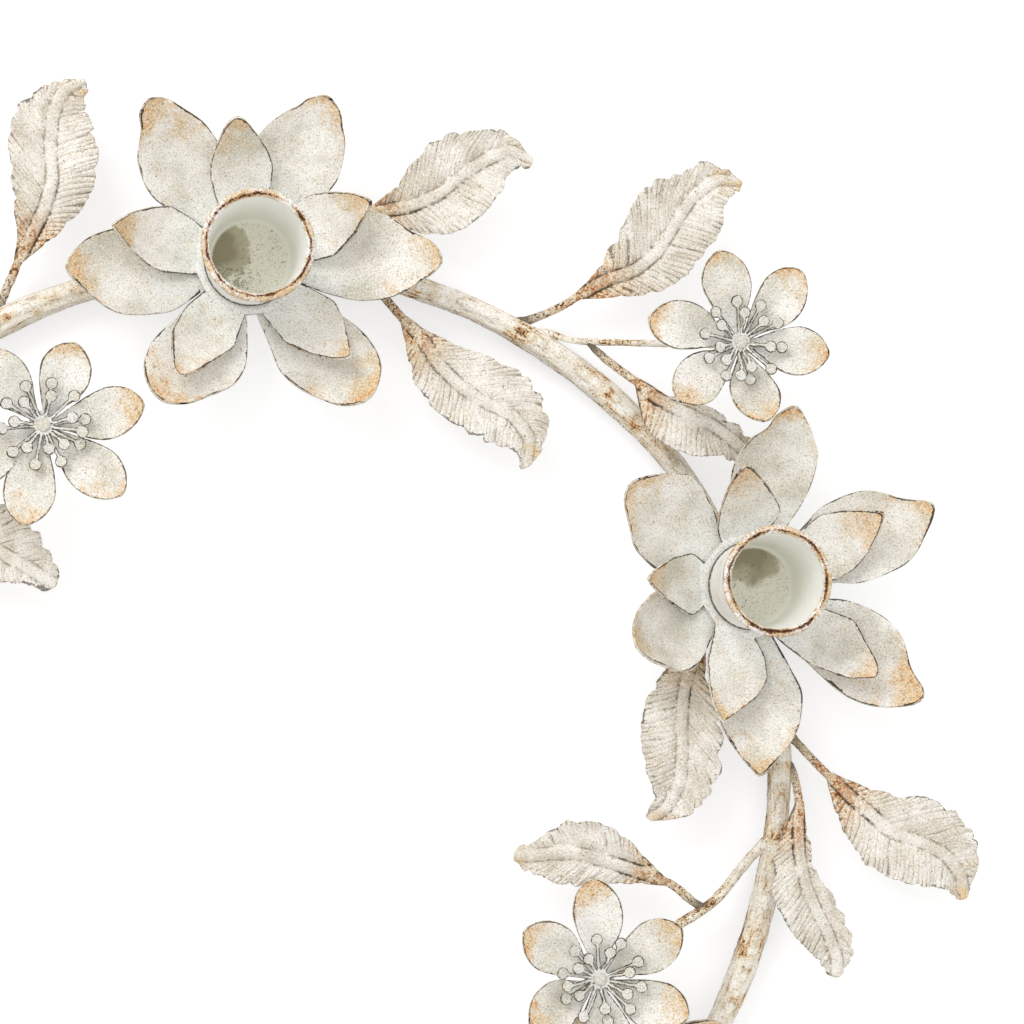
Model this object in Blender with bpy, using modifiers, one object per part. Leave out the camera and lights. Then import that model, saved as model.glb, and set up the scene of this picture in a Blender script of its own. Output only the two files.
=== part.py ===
"""Floral wreath candle holder: a flat wreath of five metal branches that carry sheet-metal flowers.

Each of the five sectors holds one branch with a round foot, a flower of two petal plates with a
candle cup bolted through them, four leaves on wire stems, and a small blossom on a stem of its own.
The origin is the middle of the wreath on the table, +Z is up, and the first flower lies towards +Y.
"""
import math
from collections import namedtuple

import bmesh
import bpy
from mathutils import Matrix, Vector

# Layout of the wreath, in metres and degrees
SECTORS = 5
RING_RADIUS = 0.120
RING_HEIGHT = 0.0055
FIRST_FLOWER_ANGLE = 94.06
SEAT_GAP = 0.0003

# Branch and the foot that is welded to it
BRANCH_END_RADIUS = 0.0018
BRANCH_MID_RADIUS = 0.0030
BRANCH_POINTS = 10
BRANCH_ARC_STEPS = 2
SWELL_POWER = 0.7
KNOT_SHARE = 0.10
KNOTS_PER_BRANCH = 2
FOOT_RADIUS = 0.0070
FOOT_SIDES = 16
FOOT_HEIGHT = 0.0085
NUT_POCKET_RADIUS = 0.0048
NUT_POCKET_DEPTH = 0.0034

# Candle cup with the stud under it
CUP_MOUTH_RADIUS = 0.0112
CUP_FLOOR_RADIUS = 0.0097
CUP_WALL = 0.0014
CUP_HEIGHT = 0.0250
CUP_FLOOR_THICKNESS = 0.0015
CUP_BEAD_RADIUS = 0.0008
CUP_CORNER = 0.0014
CUP_RIM_NECK = 0.0003
CUP_FLANGE = 0.0005
CUP_FLANGE_HEIGHT = 0.0010
CUP_SIDES = 16
STUD_RADIUS = 0.0020
STUD_PROUD = 0.0002

# Nut on the stud
NUT_CORNER_RADIUS = 0.0040
NUT_HEIGHT = 0.0024

# Sheet flowers: two plates for each cup
SHEET_THICKNESS = 0.0009
STUD_HOLE_RADIUS = STUD_RADIUS + SEAT_GAP
HUB_RADIUS = 0.0124
OUTER_REACH = 0.0425
OUTER_LIFT = 0.0130
OUTER_WIDTH = 0.0215
INNER_REACH = 0.0330
INNER_LIFT = 0.0140
INNER_WIDTH = 0.0152
PETAL_DISHING = 0.0012
STRAIGHT_RISE = 0.35

# Blossoms: one petal plate, a stamped star of flat and steep stamens, and a stem
BLOSSOM_HEIGHT = 0.0220
BLOSSOM_HUB_RADIUS = 0.0034
BLOSSOM_REACH = 0.0220
BLOSSOM_LIFT = 0.0038
BLOSSOM_WIDTH = 0.0118
BLOSSOM_SHEET = 0.0007
STAMEN_SHEET = 0.0006
STAMEN_STEM_WIDTH = 0.0010
STAMEN_HEAD_RADIUS = 0.0014
STAMEN_SLOTS = 20
EMPTY_SLOTS = (3, 7)
FLAT_STAMEN_LENGTH = 0.0098
FLAT_STAMEN_RISE = 32.0
STEEP_STAMEN_LENGTH = 0.0092
STEEP_STAMEN_RISE = 66.0
STAMEN_HUB_RADIUS = 0.0030

# Wire stems and the rivet that closes a blossom's stem
STEM_RADIUS = 0.0011
RIVET_RADIUS = 0.0020
RIVET_HEIGHT = 0.0009
STEM_EXIT = 0.0012
STEM_NECK = 0.0040
STEM_PULL = 0.3
STEM_SECTIONS = 3
STEM_FORK = STEM_SECTIONS + 1
STEM_ARC_STEPS = 1
RIVET_STEP = 0.0001
RIVET_CROWN = 0.6

# Leaves
LEAF_WIDTH = 0.0220
LEAF_THICKNESS = 0.0012
LEAF_RIB = 0.0006
LEAF_CUPPING = 0.0016
LEAF_ARCH = 0.0028
LEAF_SWAY = 0.0046
LEAF_SWAY_START = 0.17
LEAF_END_HALF = 0.0010
SHOULDER_SHARE = 0.5
SHOULDER_RISE = 0.35
SCALLOP_DEPTH = 0.10
BLADE_SECTIONS = 7

# Half widths along a petal or leaf, as shares of its length and of its full half width
OUTER_OUTLINE = ((0.0, 0.34), (0.26, 0.76), (0.54, 1.0), (0.84, 0.78), (1.0, 0.26))
INNER_OUTLINE = ((0.0, 0.42), (0.34, 0.92), (0.70, 0.88), (1.0, 0.10))
BLOSSOM_OUTLINE = ((0.0, 0.26), (0.34, 0.80), (0.68, 0.96), (1.0, 0.10))
LEAF_OUTLINE = (
    (0.0, 0.10), (0.12, 0.36), (0.30, 0.84), (0.48, 1.0), (0.66, 0.96), (0.84, 0.66), (1.0, 0.09),
)

# Hand bending of each petal: its yaw in degrees, then how far its reach and lift differ, in metres
Petal = namedtuple("Petal", "yaw reach lift skew")
OPEN_OUTER = (
    Petal(30.0, 0.0, 0.0, 0.002), Petal(-29.5, -0.001, 0.001, -0.003), Petal(-94.5, 0.0005, 0.0, 0.001),
    Petal(-147.0, 0.0, 0.0, -0.002), Petal(147.0, -0.0015, -0.001, 0.002), Petal(91.0, 0.0, 0.0, -0.001),
)
OPEN_INNER = (
    Petal(4.0, -0.0015, 0.002, 0.0), Petal(-69.5, -0.002, 0.002, 0.001), Petal(-142.5, 0.0005, 0.0, -0.001),
    Petal(146.0, 0.001, 0.0, 0.001), Petal(76.0, 0.0005, 0.001, -0.001),
)
CURLED_OUTER = (
    Petal(58.0, 0.0005, 0.0, -0.002), Petal(3.0, 0.0035, -0.002, 0.003),
    Petal(-58.0, 0.0035, -0.003, -0.003), Petal(-112.5, 0.0025, -0.002, 0.001),
    Petal(-178.0, -0.0075, 0.006, 0.0), Petal(122.5, -0.003, 0.0, 0.004),
)
CURLED_INNER = (
    Petal(79.0, -0.004, 0.003, 0.0), Petal(8.0, 0.0, 0.0, 0.001), Petal(-63.0, 0.002, -0.001, -0.001),
    Petal(-132.0, 0.002, -0.001, 0.001), Petal(156.5, -0.003, 0.003, 0.0),
)
BLOSSOM_PETALS = (
    Petal(0.0, 0.0, 0.0, 0.0008), Petal(60.0, 0.0, 0.0, -0.0006), Petal(119.0, 0.0014, 0.0, 0.0008),
    Petal(176.0, -0.0004, 0.0, -0.0008), Petal(-124.0, -0.0022, 0.0, 0.0006),
    Petal(-54.0, -0.0012, 0.0, -0.0006),
)

# Each flower: its petal plates and its turn about the stud in degrees
Flower = namedtuple("Flower", "outer inner turn")
FLOWERS = (
    Flower(OPEN_OUTER, OPEN_INNER, 0.0),
    Flower(CURLED_OUTER, CURLED_INNER, 0.0),
    Flower(OPEN_OUTER, OPEN_INNER, 15.5),
    Flower(CURLED_OUTER, CURLED_INNER, 9.0),
    Flower(OPEN_OUTER, OPEN_INNER, 24.0),
)

# A place on the wreath: degrees clockwise past the sector's flower, metres outside the ring, and height
Place = namedtuple("Place", "past out up")
# The side of the branch that a stem springs from
OUTER_SIDE, INNER_SIDE = 1, -1
# A leaf: where its stem springs from, or None if from the blossom's stem, its blade's base and tip, its
# share of the S-bend, its bow to the left, its roll in degrees and its share of the full width
Leaf = namedtuple("Leaf", "root side base tip sway bow roll width", defaults=(1.0, 0.0, 0.0, 1.0))
# A blossom: where its stem springs from, a point the stem passes, its centre, and its turn in degrees
Blossom = namedtuple("Blossom", "root side bend centre turn")
# A spray: one blossom, four leaves, and how far their branch bows out of the ring
Spray = namedtuple("Spray", "blossom leaves bow")
OUTWARD_SPRAY = Spray(
    Blossom(35.6, OUTER_SIDE, Place(39.6, 0.0062, 0.0100), Place(50.2, 0.0269, BLOSSOM_HEIGHT), 3.5),
    (
        Leaf(7.5, OUTER_SIDE, Place(11.4, 0.0122, 0.0072), Place(25.9, 0.0365, 0.0120)),
        Leaf(16.1, INNER_SIDE, Place(18.6, -0.0088, 0.0075), Place(42.3, -0.0275, 0.0110)),
        Leaf(33.2, OUTER_SIDE, Place(35.6, 0.0135, 0.0080), Place(41.6, 0.0584, 0.0130)),
        Leaf(None, INNER_SIDE, Place(46.0, 0.0052, 0.0112), Place(60.2, 0.0145, 0.0115),
             sway=0.4, bow=-0.0012, roll=-14.0, width=0.68),
    ),
    -0.0008,
)
INWARD_SPRAY = Spray(
    Blossom(31.4, INNER_SIDE, Place(39.9, -0.0168, 0.0118), Place(54.7, -0.0346, BLOSSOM_HEIGHT), 6.5),
    (
        Leaf(5.6, INNER_SIDE, Place(4.6, -0.0150, 0.0068), Place(28.8, -0.0332, 0.0110), width=0.95),
        Leaf(18.7, OUTER_SIDE, Place(22.0, 0.0106, 0.0080), Place(32.2, 0.0454, 0.0125)),
        Leaf(23.2, OUTER_SIDE, Place(26.0, 0.0046, 0.0112), Place(41.8, 0.0190, 0.0120),
             sway=0.3, bow=-0.0020, roll=-14.0, width=0.68),
        Leaf(None, INNER_SIDE, Place(37.4, -0.0269, 0.0110), Place(40.7, -0.0636, 0.0130),
             sway=0.0, bow=-0.0032, width=0.74),
    ),
    -0.0010,
)
SIDE_SPRAY = Spray(
    Blossom(20.5, INNER_SIDE, Place(26.5, -0.0100, 0.0105), Place(41.1, -0.0230, BLOSSOM_HEIGHT), 10.5),
    (
        Leaf(7.5, OUTER_SIDE, Place(11.4, 0.0122, 0.0072), Place(25.9, 0.0365, 0.0120)),
        Leaf(24.4, OUTER_SIDE, Place(28.0, 0.0115, 0.0090), Place(42.5, 0.0270, 0.0125),
             sway=0.3, bow=-0.0020, roll=-12.0, width=0.80),
        Leaf(None, INNER_SIDE, Place(23.4, -0.0172, 0.0090), Place(26.1, -0.0518, 0.0120),
             sway=0.0, bow=-0.0006, width=0.85),
        Leaf(45.8, OUTER_SIDE, Place(48.6, 0.0136, 0.0080), Place(59.7, 0.0473, 0.0130)),
    ),
    0.0040,
)
SHORT_LEAF = Leaf(33.2, OUTER_SIDE, Place(35.6, 0.0135, 0.0080), Place(41.0, 0.0545, 0.0130))
SHORT_SPRAY = OUTWARD_SPRAY._replace(
    blossom=OUTWARD_SPRAY.blossom._replace(bend=Place(39.9, 0.0066, 0.0104)),
    leaves=OUTWARD_SPRAY.leaves[:2] + (SHORT_LEAF,) + OUTWARD_SPRAY.leaves[3:],
)
SPRAYS = (OUTWARD_SPRAY, INWARD_SPRAY, INWARD_SPRAY, SHORT_SPRAY, SIDE_SPRAY)

SECTOR_ANGLE = 360.0 / SECTORS
OUTER_HUB_BASE = FOOT_HEIGHT + SEAT_GAP
INNER_HUB_BASE = OUTER_HUB_BASE + SHEET_THICKNESS + SEAT_GAP
CUP_BASE = INNER_HUB_BASE + SHEET_THICKNESS + SEAT_GAP
STEM_HOLE_RADIUS = STEM_RADIUS + SEAT_GAP


def clear_scene():
    for obj in list(bpy.data.objects):
        bpy.data.objects.remove(obj, do_unlink=True)


def new_collection(name):
    collection = bpy.data.collections.new(name)
    bpy.context.scene.collection.children.link(collection)
    return collection


def painted_metal(name, colour, roughness, metallic=0.0):
    """A Principled material for one kind of piece."""
    material = bpy.data.materials.new(name)
    material.use_nodes = True
    shader = material.node_tree.nodes["Principled BSDF"]
    shader.inputs["Base Color"].default_value = (*colour, 1.0)
    shader.inputs["Roughness"].default_value = roughness
    shader.inputs["Metallic"].default_value = metallic
    material.diffuse_color = (*colour, 1.0)
    return material


def add_object(name, data, collection, parent=None, material=None):
    obj = bpy.data.objects.new(name, data)
    collection.objects.link(obj)
    obj.parent = parent
    if material and not data.materials:
        data.materials.append(material)
    return obj


def add_empty(name, parent, location, turn):
    empty = add_object(name, None, PARTS, parent)
    empty.location = location
    empty.rotation_euler.z = math.radians(turn)
    return empty


def add_cutter(name, data, parent):
    cutter = add_object(name, data, CUTTERS, parent)
    cutter.hide_render = True
    cutter.display_type = "WIRE"
    return cutter


def mesh_from(name, bm, smooth_angle=40.0):
    """The bmesh as a mesh, shaded smooth up to the given edge angle."""
    mesh = bpy.data.meshes.new(name)
    bm.to_mesh(mesh)
    bm.free()
    mesh.shade_smooth()
    mesh.set_sharp_from_angle(angle=math.radians(smooth_angle))
    return mesh


def value_at(table, share):
    """The value of a table of (share, value) rows at any share between its rows."""
    for (low, a), (high, b) in zip(table, table[1:]):
        if share <= high:
            part = (share - low) / (high - low)
            return a + (b - a) * part
    return table[-1][1]


def spot(place):
    """The point of a place in its sector, where the flower lies on +X."""
    angle = -math.radians(place.past)
    radius = RING_RADIUS + place.out
    return Vector((radius * math.cos(angle), radius * math.sin(angle), place.up))


def branch_share(past):
    return past / SECTOR_ANGLE


def branch_radius(past):
    """The branch swells from its ends to its middle, with a few low knots."""
    share = branch_share(past)
    swell = math.sin(math.pi * share) ** SWELL_POWER
    knots = 1.0 + KNOT_SHARE * math.sin(2 * math.pi * KNOTS_PER_BRANCH * share) ** 3
    return (BRANCH_END_RADIUS + (BRANCH_MID_RADIUS - BRANCH_END_RADIUS) * swell) * knots


def branch_spot(past, bow):
    """The branch's centre line, which leaves the ring by its bow in the middle."""
    out = bow * math.sin(math.pi * branch_share(past)) ** 2
    return spot(Place(past, out, RING_HEIGHT))


def bezier(start, start_handle, end_handle, end, share):
    rest = 1.0 - share
    return (start * rest ** 3 + start_handle * (3 * rest ** 2 * share)
            + end_handle * (3 * rest * share ** 2) + end * share ** 3)


def tube(name, points, radii, bevel, parent, material=None):
    """A round wire through the points, as a curve with filled caps."""
    curve = bpy.data.curves.new(name, "CURVE")
    curve.dimensions = "3D"
    curve.bevel_depth = 1.0
    curve.bevel_resolution = bevel
    curve.use_fill_caps = True
    spline = curve.splines.new("POLY")
    spline.points.add(len(points) - 1)
    for point, position, radius in zip(spline.points, points, radii):
        point.co = (*position, 1.0)
        point.radius = radius
    return add_object(name, curve, PARTS, parent, material)


def tube_to_mesh(obj):
    """Turns a tube into a mesh object with welded caps, so that it can be cut and joined."""
    bpy.context.view_layer.update()
    evaluated = obj.evaluated_get(bpy.context.evaluated_depsgraph_get())
    mesh = bpy.data.meshes.new_from_object(evaluated)
    bm = bmesh.new()
    bm.from_mesh(mesh)
    bmesh.ops.remove_doubles(bm, verts=bm.verts, dist=0.00001)
    bmesh.ops.recalc_face_normals(bm, faces=bm.faces)
    bm.to_mesh(mesh)
    bm.free()
    name, parent, collection = obj.name, obj.parent, obj.users_collection[0]
    bpy.data.objects.remove(obj, do_unlink=True)
    mesh.shade_smooth()
    mesh.set_sharp_from_angle(angle=math.radians(50))
    return add_object(name, mesh, collection, parent)


def cylinder(name, radius, bottom, top, sides):
    bm = bmesh.new()
    move = Matrix.Translation((0, 0, (bottom + top) / 2))
    bmesh.ops.create_cone(bm, cap_ends=True, segments=sides, radius1=radius, radius2=radius,
                          depth=top - bottom, matrix=move)
    return mesh_from(name, bm)


def boolean(obj, operation, other):
    modifier = obj.modifiers.new(f"{operation.lower()}_{other.name}", "BOOLEAN")
    modifier.operation = operation
    modifier.solver = "EXACT"
    modifier.object = other


def placed_grid(bm, columns, rows, place):
    """A grid whose vertices are moved to place(column, row)."""
    made = bmesh.ops.create_grid(bm, x_segments=columns, y_segments=rows, size=1.0)
    for vert in made["verts"]:
        column = round((vert.co.x + 1.0) / 2.0 * columns)
        row = round((vert.co.y + 1.0) / 2.0 * rows)
        vert.co = place(column, row)


def sheet_star(name, hub_radius, hole_radius, arms, columns):
    """An open sheet: a hub with a hole, and one arm for each (yaw, root half width, rows) given.

    Each arm's rows are lists of points in the arm's own frame, where +X runs outwards.
    """
    bm = bmesh.new()
    rim = []
    arms = sorted(arms, key=lambda arm: arm[0])
    for yaw, half_root, _ in arms:
        spread = math.asin(half_root / hub_radius)
        for column in range(columns + 1):
            rim.append(math.radians(yaw) + spread * (2.0 * column / columns - 1.0))

    def hub_point(column, row):
        angle = rim[column % len(rim)]
        radius = hub_radius if row else hole_radius
        return Vector((radius * math.cos(angle), radius * math.sin(angle), 0.0))

    placed_grid(bm, len(rim), 1, hub_point)
    for index, (yaw, _, rows) in enumerate(arms):
        turn = Matrix.Rotation(math.radians(yaw), 3, "Z")

        def arm_point(column, row, rows=rows, turn=turn, first=index * (columns + 1)):
            if row == 0:
                return hub_point(first + column, 1)
            return turn @ rows[row - 1][column]

        placed_grid(bm, columns, len(rows), arm_point)
    bmesh.ops.remove_doubles(bm, verts=bm.verts, dist=0.00001)
    bmesh.ops.recalc_face_normals(bm, faces=bm.faces)
    top = max(bm.faces, key=lambda face: abs(face.normal.z))
    if top.normal.z < 0:
        bmesh.ops.reverse_faces(bm, faces=bm.faces)
    return mesh_from(name, bm)


def solid_sheet(obj, thickness):
    """Gives an open sheet its thickness, upwards from the face that was drawn."""
    modifier = obj.modifiers.new("sheet", "SOLIDIFY")
    modifier.thickness = thickness
    modifier.offset = 1.0


def petal_rows(outline, hub_radius, reach, lift, width, skew, dishing):
    """The rows of three points across one petal: it rises in a curve, and its edges stand a little up."""
    rows = []
    for share, half in outline[1:]:
        along = hub_radius + (reach - hub_radius) * share
        up = lift * (STRAIGHT_RISE * share + (1.0 - STRAIGHT_RISE) * share ** 2)
        dish = dishing * math.sin(math.pi * share)
        shift = skew * share ** 2
        half_width = half * width / 2
        rows.append([Vector((along, shift + side * half_width, up + dish * abs(side))) for side in (-1, 0, 1)])
    return rows


def petal_plate(name, petals, outline, hub_radius, hole_radius, reach, lift, width, dishing):
    arms = []
    for petal in petals:
        rows = petal_rows(outline, hub_radius, reach + petal.reach, lift + petal.lift, width,
                          petal.skew, dishing)
        arms.append((petal.yaw, outline[0][1] * width / 2, rows))
    return sheet_star(name, hub_radius, hole_radius, arms, 2)


def cup_mesh():
    """The cup's turned profile, from the middle of its floor over the rim and down to the stud."""
    floor = CUP_FLOOR_THICKNESS
    base_outside = CUP_FLOOR_RADIUS + CUP_WALL
    stud_bottom = STUD_PROUD - CUP_BASE + SEAT_GAP
    bead_middle = CUP_MOUTH_RADIUS + CUP_BEAD_RADIUS
    inside = [
        (0.0, floor),
        (CUP_FLOOR_RADIUS - CUP_CORNER, floor),
        (CUP_FLOOR_RADIUS, floor + CUP_CORNER),
    ]
    bead = []
    for turn in (180.0, 110.0, 50.0, -20.0):
        angle = math.radians(turn)
        height = CUP_HEIGHT - CUP_BEAD_RADIUS + CUP_BEAD_RADIUS * math.sin(angle)
        bead.append((bead_middle + CUP_BEAD_RADIUS * math.cos(angle), height))
    outside = [
        (CUP_MOUTH_RADIUS + CUP_WALL - CUP_RIM_NECK, CUP_HEIGHT - 2 * CUP_BEAD_RADIUS),
        (base_outside, CUP_FLANGE_HEIGHT),
        (base_outside + CUP_FLANGE, CUP_FLANGE_HEIGHT),
        (base_outside + CUP_FLANGE, 0.0),
        (STUD_RADIUS, 0.0),
        (STUD_RADIUS, stud_bottom),
        (0.0, stud_bottom),
    ]
    points = [(radius, 0.0, height) for radius, height in inside + bead + outside]
    edges = [(index, index + 1) for index in range(len(points) - 1)]
    mesh = bpy.data.meshes.new("candle_cup")
    mesh.from_pydata(points, edges, [])
    return mesh


def add_cup(name, mesh, parent, material):
    cup = add_object(name, mesh, PARTS, parent, material)
    cup.location.z = CUP_BASE
    turned = cup.modifiers.new("turned", "SCREW")
    turned.steps = CUP_SIDES
    turned.render_steps = CUP_SIDES
    turned.use_merge_vertices = True
    turned.merge_threshold = 0.00001
    turned.use_smooth_shade = True
    return cup


def add_nut(name, mesh, bore_mesh, parent, material):
    nut = add_object(name, mesh, PARTS, parent, material)
    bore = add_cutter(f"{name}_bore", bore_mesh, parent)
    boolean(nut, "DIFFERENCE", bore)
    return nut


def add_branch(number, sector, bow, material):
    """A tapering branch that starts in its own foot and ends against the next one."""
    name = f"branch_{number}"
    last = SECTOR_ANGLE - math.degrees((FOOT_RADIUS + SEAT_GAP) / RING_RADIUS)
    pasts = [last * step / (BRANCH_POINTS - 1) for step in range(BRANCH_POINTS)]
    points = [branch_spot(past, bow) for past in pasts]
    radii = [branch_radius(past) for past in pasts]
    branch = tube_to_mesh(tube(name, points, radii, BRANCH_ARC_STEPS, sector))
    branch.data.materials.append(material)
    foot = add_cutter(f"{name}_foot", FOOT_MESH, sector)
    pocket = add_cutter(f"{name}_pocket", POCKET_MESH, sector)
    hole = add_cutter(f"{name}_hole", HOLE_MESH, sector)
    for cutter in (foot, pocket, hole):
        cutter.location = (RING_RADIUS, 0.0, 0.0)
    boolean(branch, "UNION", foot)
    boolean(branch, "DIFFERENCE", pocket)
    boolean(branch, "DIFFERENCE", hole)
    return branch


def branch_seat(root, side, bow):
    """Where a stem meets the branch on its outer (1) or inner (-1) side, and the way it leaves."""
    middle = branch_spot(root, bow)
    outwards = Vector((middle.x, middle.y, 0.0)).normalized() * side
    return middle + outwards * (branch_radius(root) + SEAT_GAP), outwards


def stem_path(blossom, bow):
    """The points of a blossom's stem, from the branch to under the blossom's hub."""
    start, outwards = branch_seat(blossom.root, blossom.side, bow)
    centre = spot(blossom.centre)
    bend = spot(blossom.bend)
    neck = centre - Vector((0.0, 0.0, STEM_NECK))
    free = start + outwards * STEM_EXIT
    pull = (neck - bend) * STEM_PULL
    first = [bezier(free, free + outwards * STEM_EXIT, bend - pull, bend, step / STEM_SECTIONS)
             for step in range(STEM_SECTIONS + 1)]
    second = [bezier(bend, bend + pull, neck - Vector((0.0, 0.0, STEM_NECK)), neck, step / STEM_SECTIONS)
              for step in range(1, STEM_SECTIONS + 1)]
    return [start] + first + second


def add_blossom_stem(name, blossom, bow, sector, material):
    """The wire that carries a blossom: a collar under the plates, and a peened head above them."""
    points = stem_path(blossom, bow)
    radii = [STEM_RADIUS] * len(points)
    top = spot(blossom.centre)
    plates = BLOSSOM_SHEET + SEAT_GAP + STAMEN_SHEET + SEAT_GAP
    rises = (
        (-SEAT_GAP - RIVET_HEIGHT, STEM_RADIUS),
        (-SEAT_GAP - RIVET_STEP, RIVET_RADIUS),
        (-SEAT_GAP, STEM_RADIUS),
        (plates, STEM_RADIUS),
        (plates + RIVET_STEP, RIVET_RADIUS),
        (plates + RIVET_HEIGHT, RIVET_RADIUS * RIVET_CROWN),
    )
    for rise, radius in rises:
        points.append(top + Vector((0.0, 0.0, rise)))
        radii.append(radius)
    return tube(name, points, radii, STEM_ARC_STEPS, sector, material)


def stamen_rows(hub_radius, length, rise):
    """The rows of two points along one stamen: a narrow strip that ends in a round head."""
    slope = math.radians(rise)
    half = STAMEN_STEM_WIDTH / 2
    head = STAMEN_HEAD_RADIUS
    stations = (
        (length - 2 * head, half),
        (length - head, head),
        (length, half),
    )
    rows = []
    for run, half_width in stations:
        along = hub_radius + run * math.cos(slope)
        up = run * math.sin(slope)
        rows.append([Vector((along, side * half_width, up)) for side in (-1, 1)])
    return rows


def stamen_star():
    """A stamped star whose stamens are bent up flatly and steeply by turns, with a few slots left empty."""
    flat = stamen_rows(STAMEN_HUB_RADIUS, FLAT_STAMEN_LENGTH, FLAT_STAMEN_RISE)
    steep = stamen_rows(STAMEN_HUB_RADIUS, STEEP_STAMEN_LENGTH, STEEP_STAMEN_RISE)
    half_root = STAMEN_HUB_RADIUS * math.sin(math.pi / STAMEN_SLOTS)
    arms = [(360.0 * slot / STAMEN_SLOTS, half_root, steep if slot % 2 else flat)
            for slot in range(STAMEN_SLOTS) if slot not in EMPTY_SLOTS]
    return sheet_star("blossom_stamens", STAMEN_HUB_RADIUS, STEM_HOLE_RADIUS, arms, 1)


def fork_seat(leaf, spray):
    """Where a leaf's stem meets the blossom's stem, on the side of the leaf, and the way it leaves."""
    path = stem_path(spray.blossom, spray.bow)
    host = path[STEM_FORK]
    along = path[STEM_FORK + 1] - path[STEM_FORK - 1]
    outwards = Vector((0.0, 0.0, 1.0)).cross(along).normalized()
    if outwards.dot(spot(leaf.base) - host) < 0:
        outwards = -outwards
    return host + outwards * (STEM_RADIUS + SEAT_GAP), outwards


def leaf_spine(leaf, spray):
    """The leaf's centre line: stem points, then blade points with each one's share of the blade."""
    base, tip = spot(leaf.base), spot(leaf.tip)
    heading = (tip - base).normalized()
    left = Vector((-heading.y, heading.x, 0.0)).normalized()
    if leaf.root is None:
        start, outwards = fork_seat(leaf, spray)
    else:
        start, outwards = branch_seat(leaf.root, leaf.side, spray.bow)
    free = start + outwards * STEM_EXIT
    pull = (base - free).length * STEM_PULL
    stem = [start]
    stem += [bezier(free, free + outwards * STEM_EXIT, base - heading * pull, base, step / STEM_SECTIONS)
             for step in range(STEM_SECTIONS)]
    blade = []
    for step in range(BLADE_SECTIONS + 1):
        share = step / BLADE_SECTIONS
        sway = -math.sin(2 * math.pi * share) * (LEAF_SWAY_START + share) * LEAF_SWAY * leaf.sway
        bow = math.sin(math.pi * share) * leaf.bow
        arch = math.sin(math.pi * share) * LEAF_ARCH
        point = base.lerp(tip, share) + left * (sway + bow) + Vector((0.0, 0.0, arch))
        blade.append((point, share))
    return stem, blade


def leaf_ring(point, along, roll, half_width, edge, shoulder, crown, keel):
    """Six points round a stem or blade, given the heights of its edges, shoulders, crown and keel."""
    side = along.cross(Vector((0.0, 0.0, 1.0))).normalized()
    up = side.cross(along).normalized()
    turn = Matrix.Rotation(math.radians(roll), 3, along)
    side, up = turn @ side, turn @ up
    outline = (
        (-1.0, edge), (-SHOULDER_SHARE, shoulder), (0.0, crown),
        (SHOULDER_SHARE, shoulder), (1.0, edge), (0.0, keel),
    )
    return [point + side * half_width * x + up * y for x, y in outline]


def stem_ring(point, along):
    """A round wire, written as a ring of the same count as a blade's."""
    shoulder = STEM_RADIUS * math.sqrt(1.0 - SHOULDER_SHARE ** 2)
    return leaf_ring(point, along, 0.0, STEM_RADIUS, 0.0, shoulder, STEM_RADIUS, -STEM_RADIUS)


def blade_ring(point, along, leaf, share, scallop):
    """A cupped blade with a raised midrib; the ring narrows and flattens towards both ends."""
    wide = value_at(LEAF_OUTLINE, share)
    half = max(LEAF_WIDTH / 2 * leaf.width * wide * (1.0 + scallop * wide), LEAF_END_HALF)
    cupping = LEAF_CUPPING * wide
    skin = LEAF_THICKNESS / 2
    return leaf_ring(point, along, leaf.roll * wide, half, cupping, cupping * SHOULDER_RISE + skin,
                     skin + LEAF_RIB, -skin)


def loft(bm, rings):
    """Bridges rings of equal count and caps both ends."""
    loops = [[bm.verts.new(point) for point in ring] for ring in rings]
    count = len(loops[0])
    for low, high in zip(loops, loops[1:]):
        for index in range(count):
            after = (index + 1) % count
            bm.faces.new((low[index], low[after], high[after], high[index]))
    bm.faces.new(reversed(loops[0]))
    bm.faces.new(loops[-1])
    bmesh.ops.recalc_face_normals(bm, faces=bm.faces)


def leaf_mesh(name, leaf, spray):
    """A leaf with its stem in one casting, drawn about the base of its blade."""
    stem, blade = leaf_spine(leaf, spray)
    points = stem + [point for point, _ in blade]
    base = spot(leaf.base)
    rings = []
    for index, point in enumerate(points):
        before = points[max(index - 1, 0)]
        after = points[min(index + 1, len(points) - 1)]
        along = (after - before).normalized()
        if index < len(stem):
            rings.append(stem_ring(point - base, along))
            continue
        step = index - len(stem)
        scallop = SCALLOP_DEPTH / 2 if step % 2 else -SCALLOP_DEPTH / 2
        rings.append(blade_ring(point - base, along, leaf, blade[step][1], scallop))
    bm = bmesh.new()
    loft(bm, rings)
    return mesh_from(name, bm, 60.0)


def shared(key, make):
    """One mesh for all the pieces of a kind, made on first use."""
    if key not in SHARED_MESHES:
        SHARED_MESHES[key] = make()
    return SHARED_MESHES[key]


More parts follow.
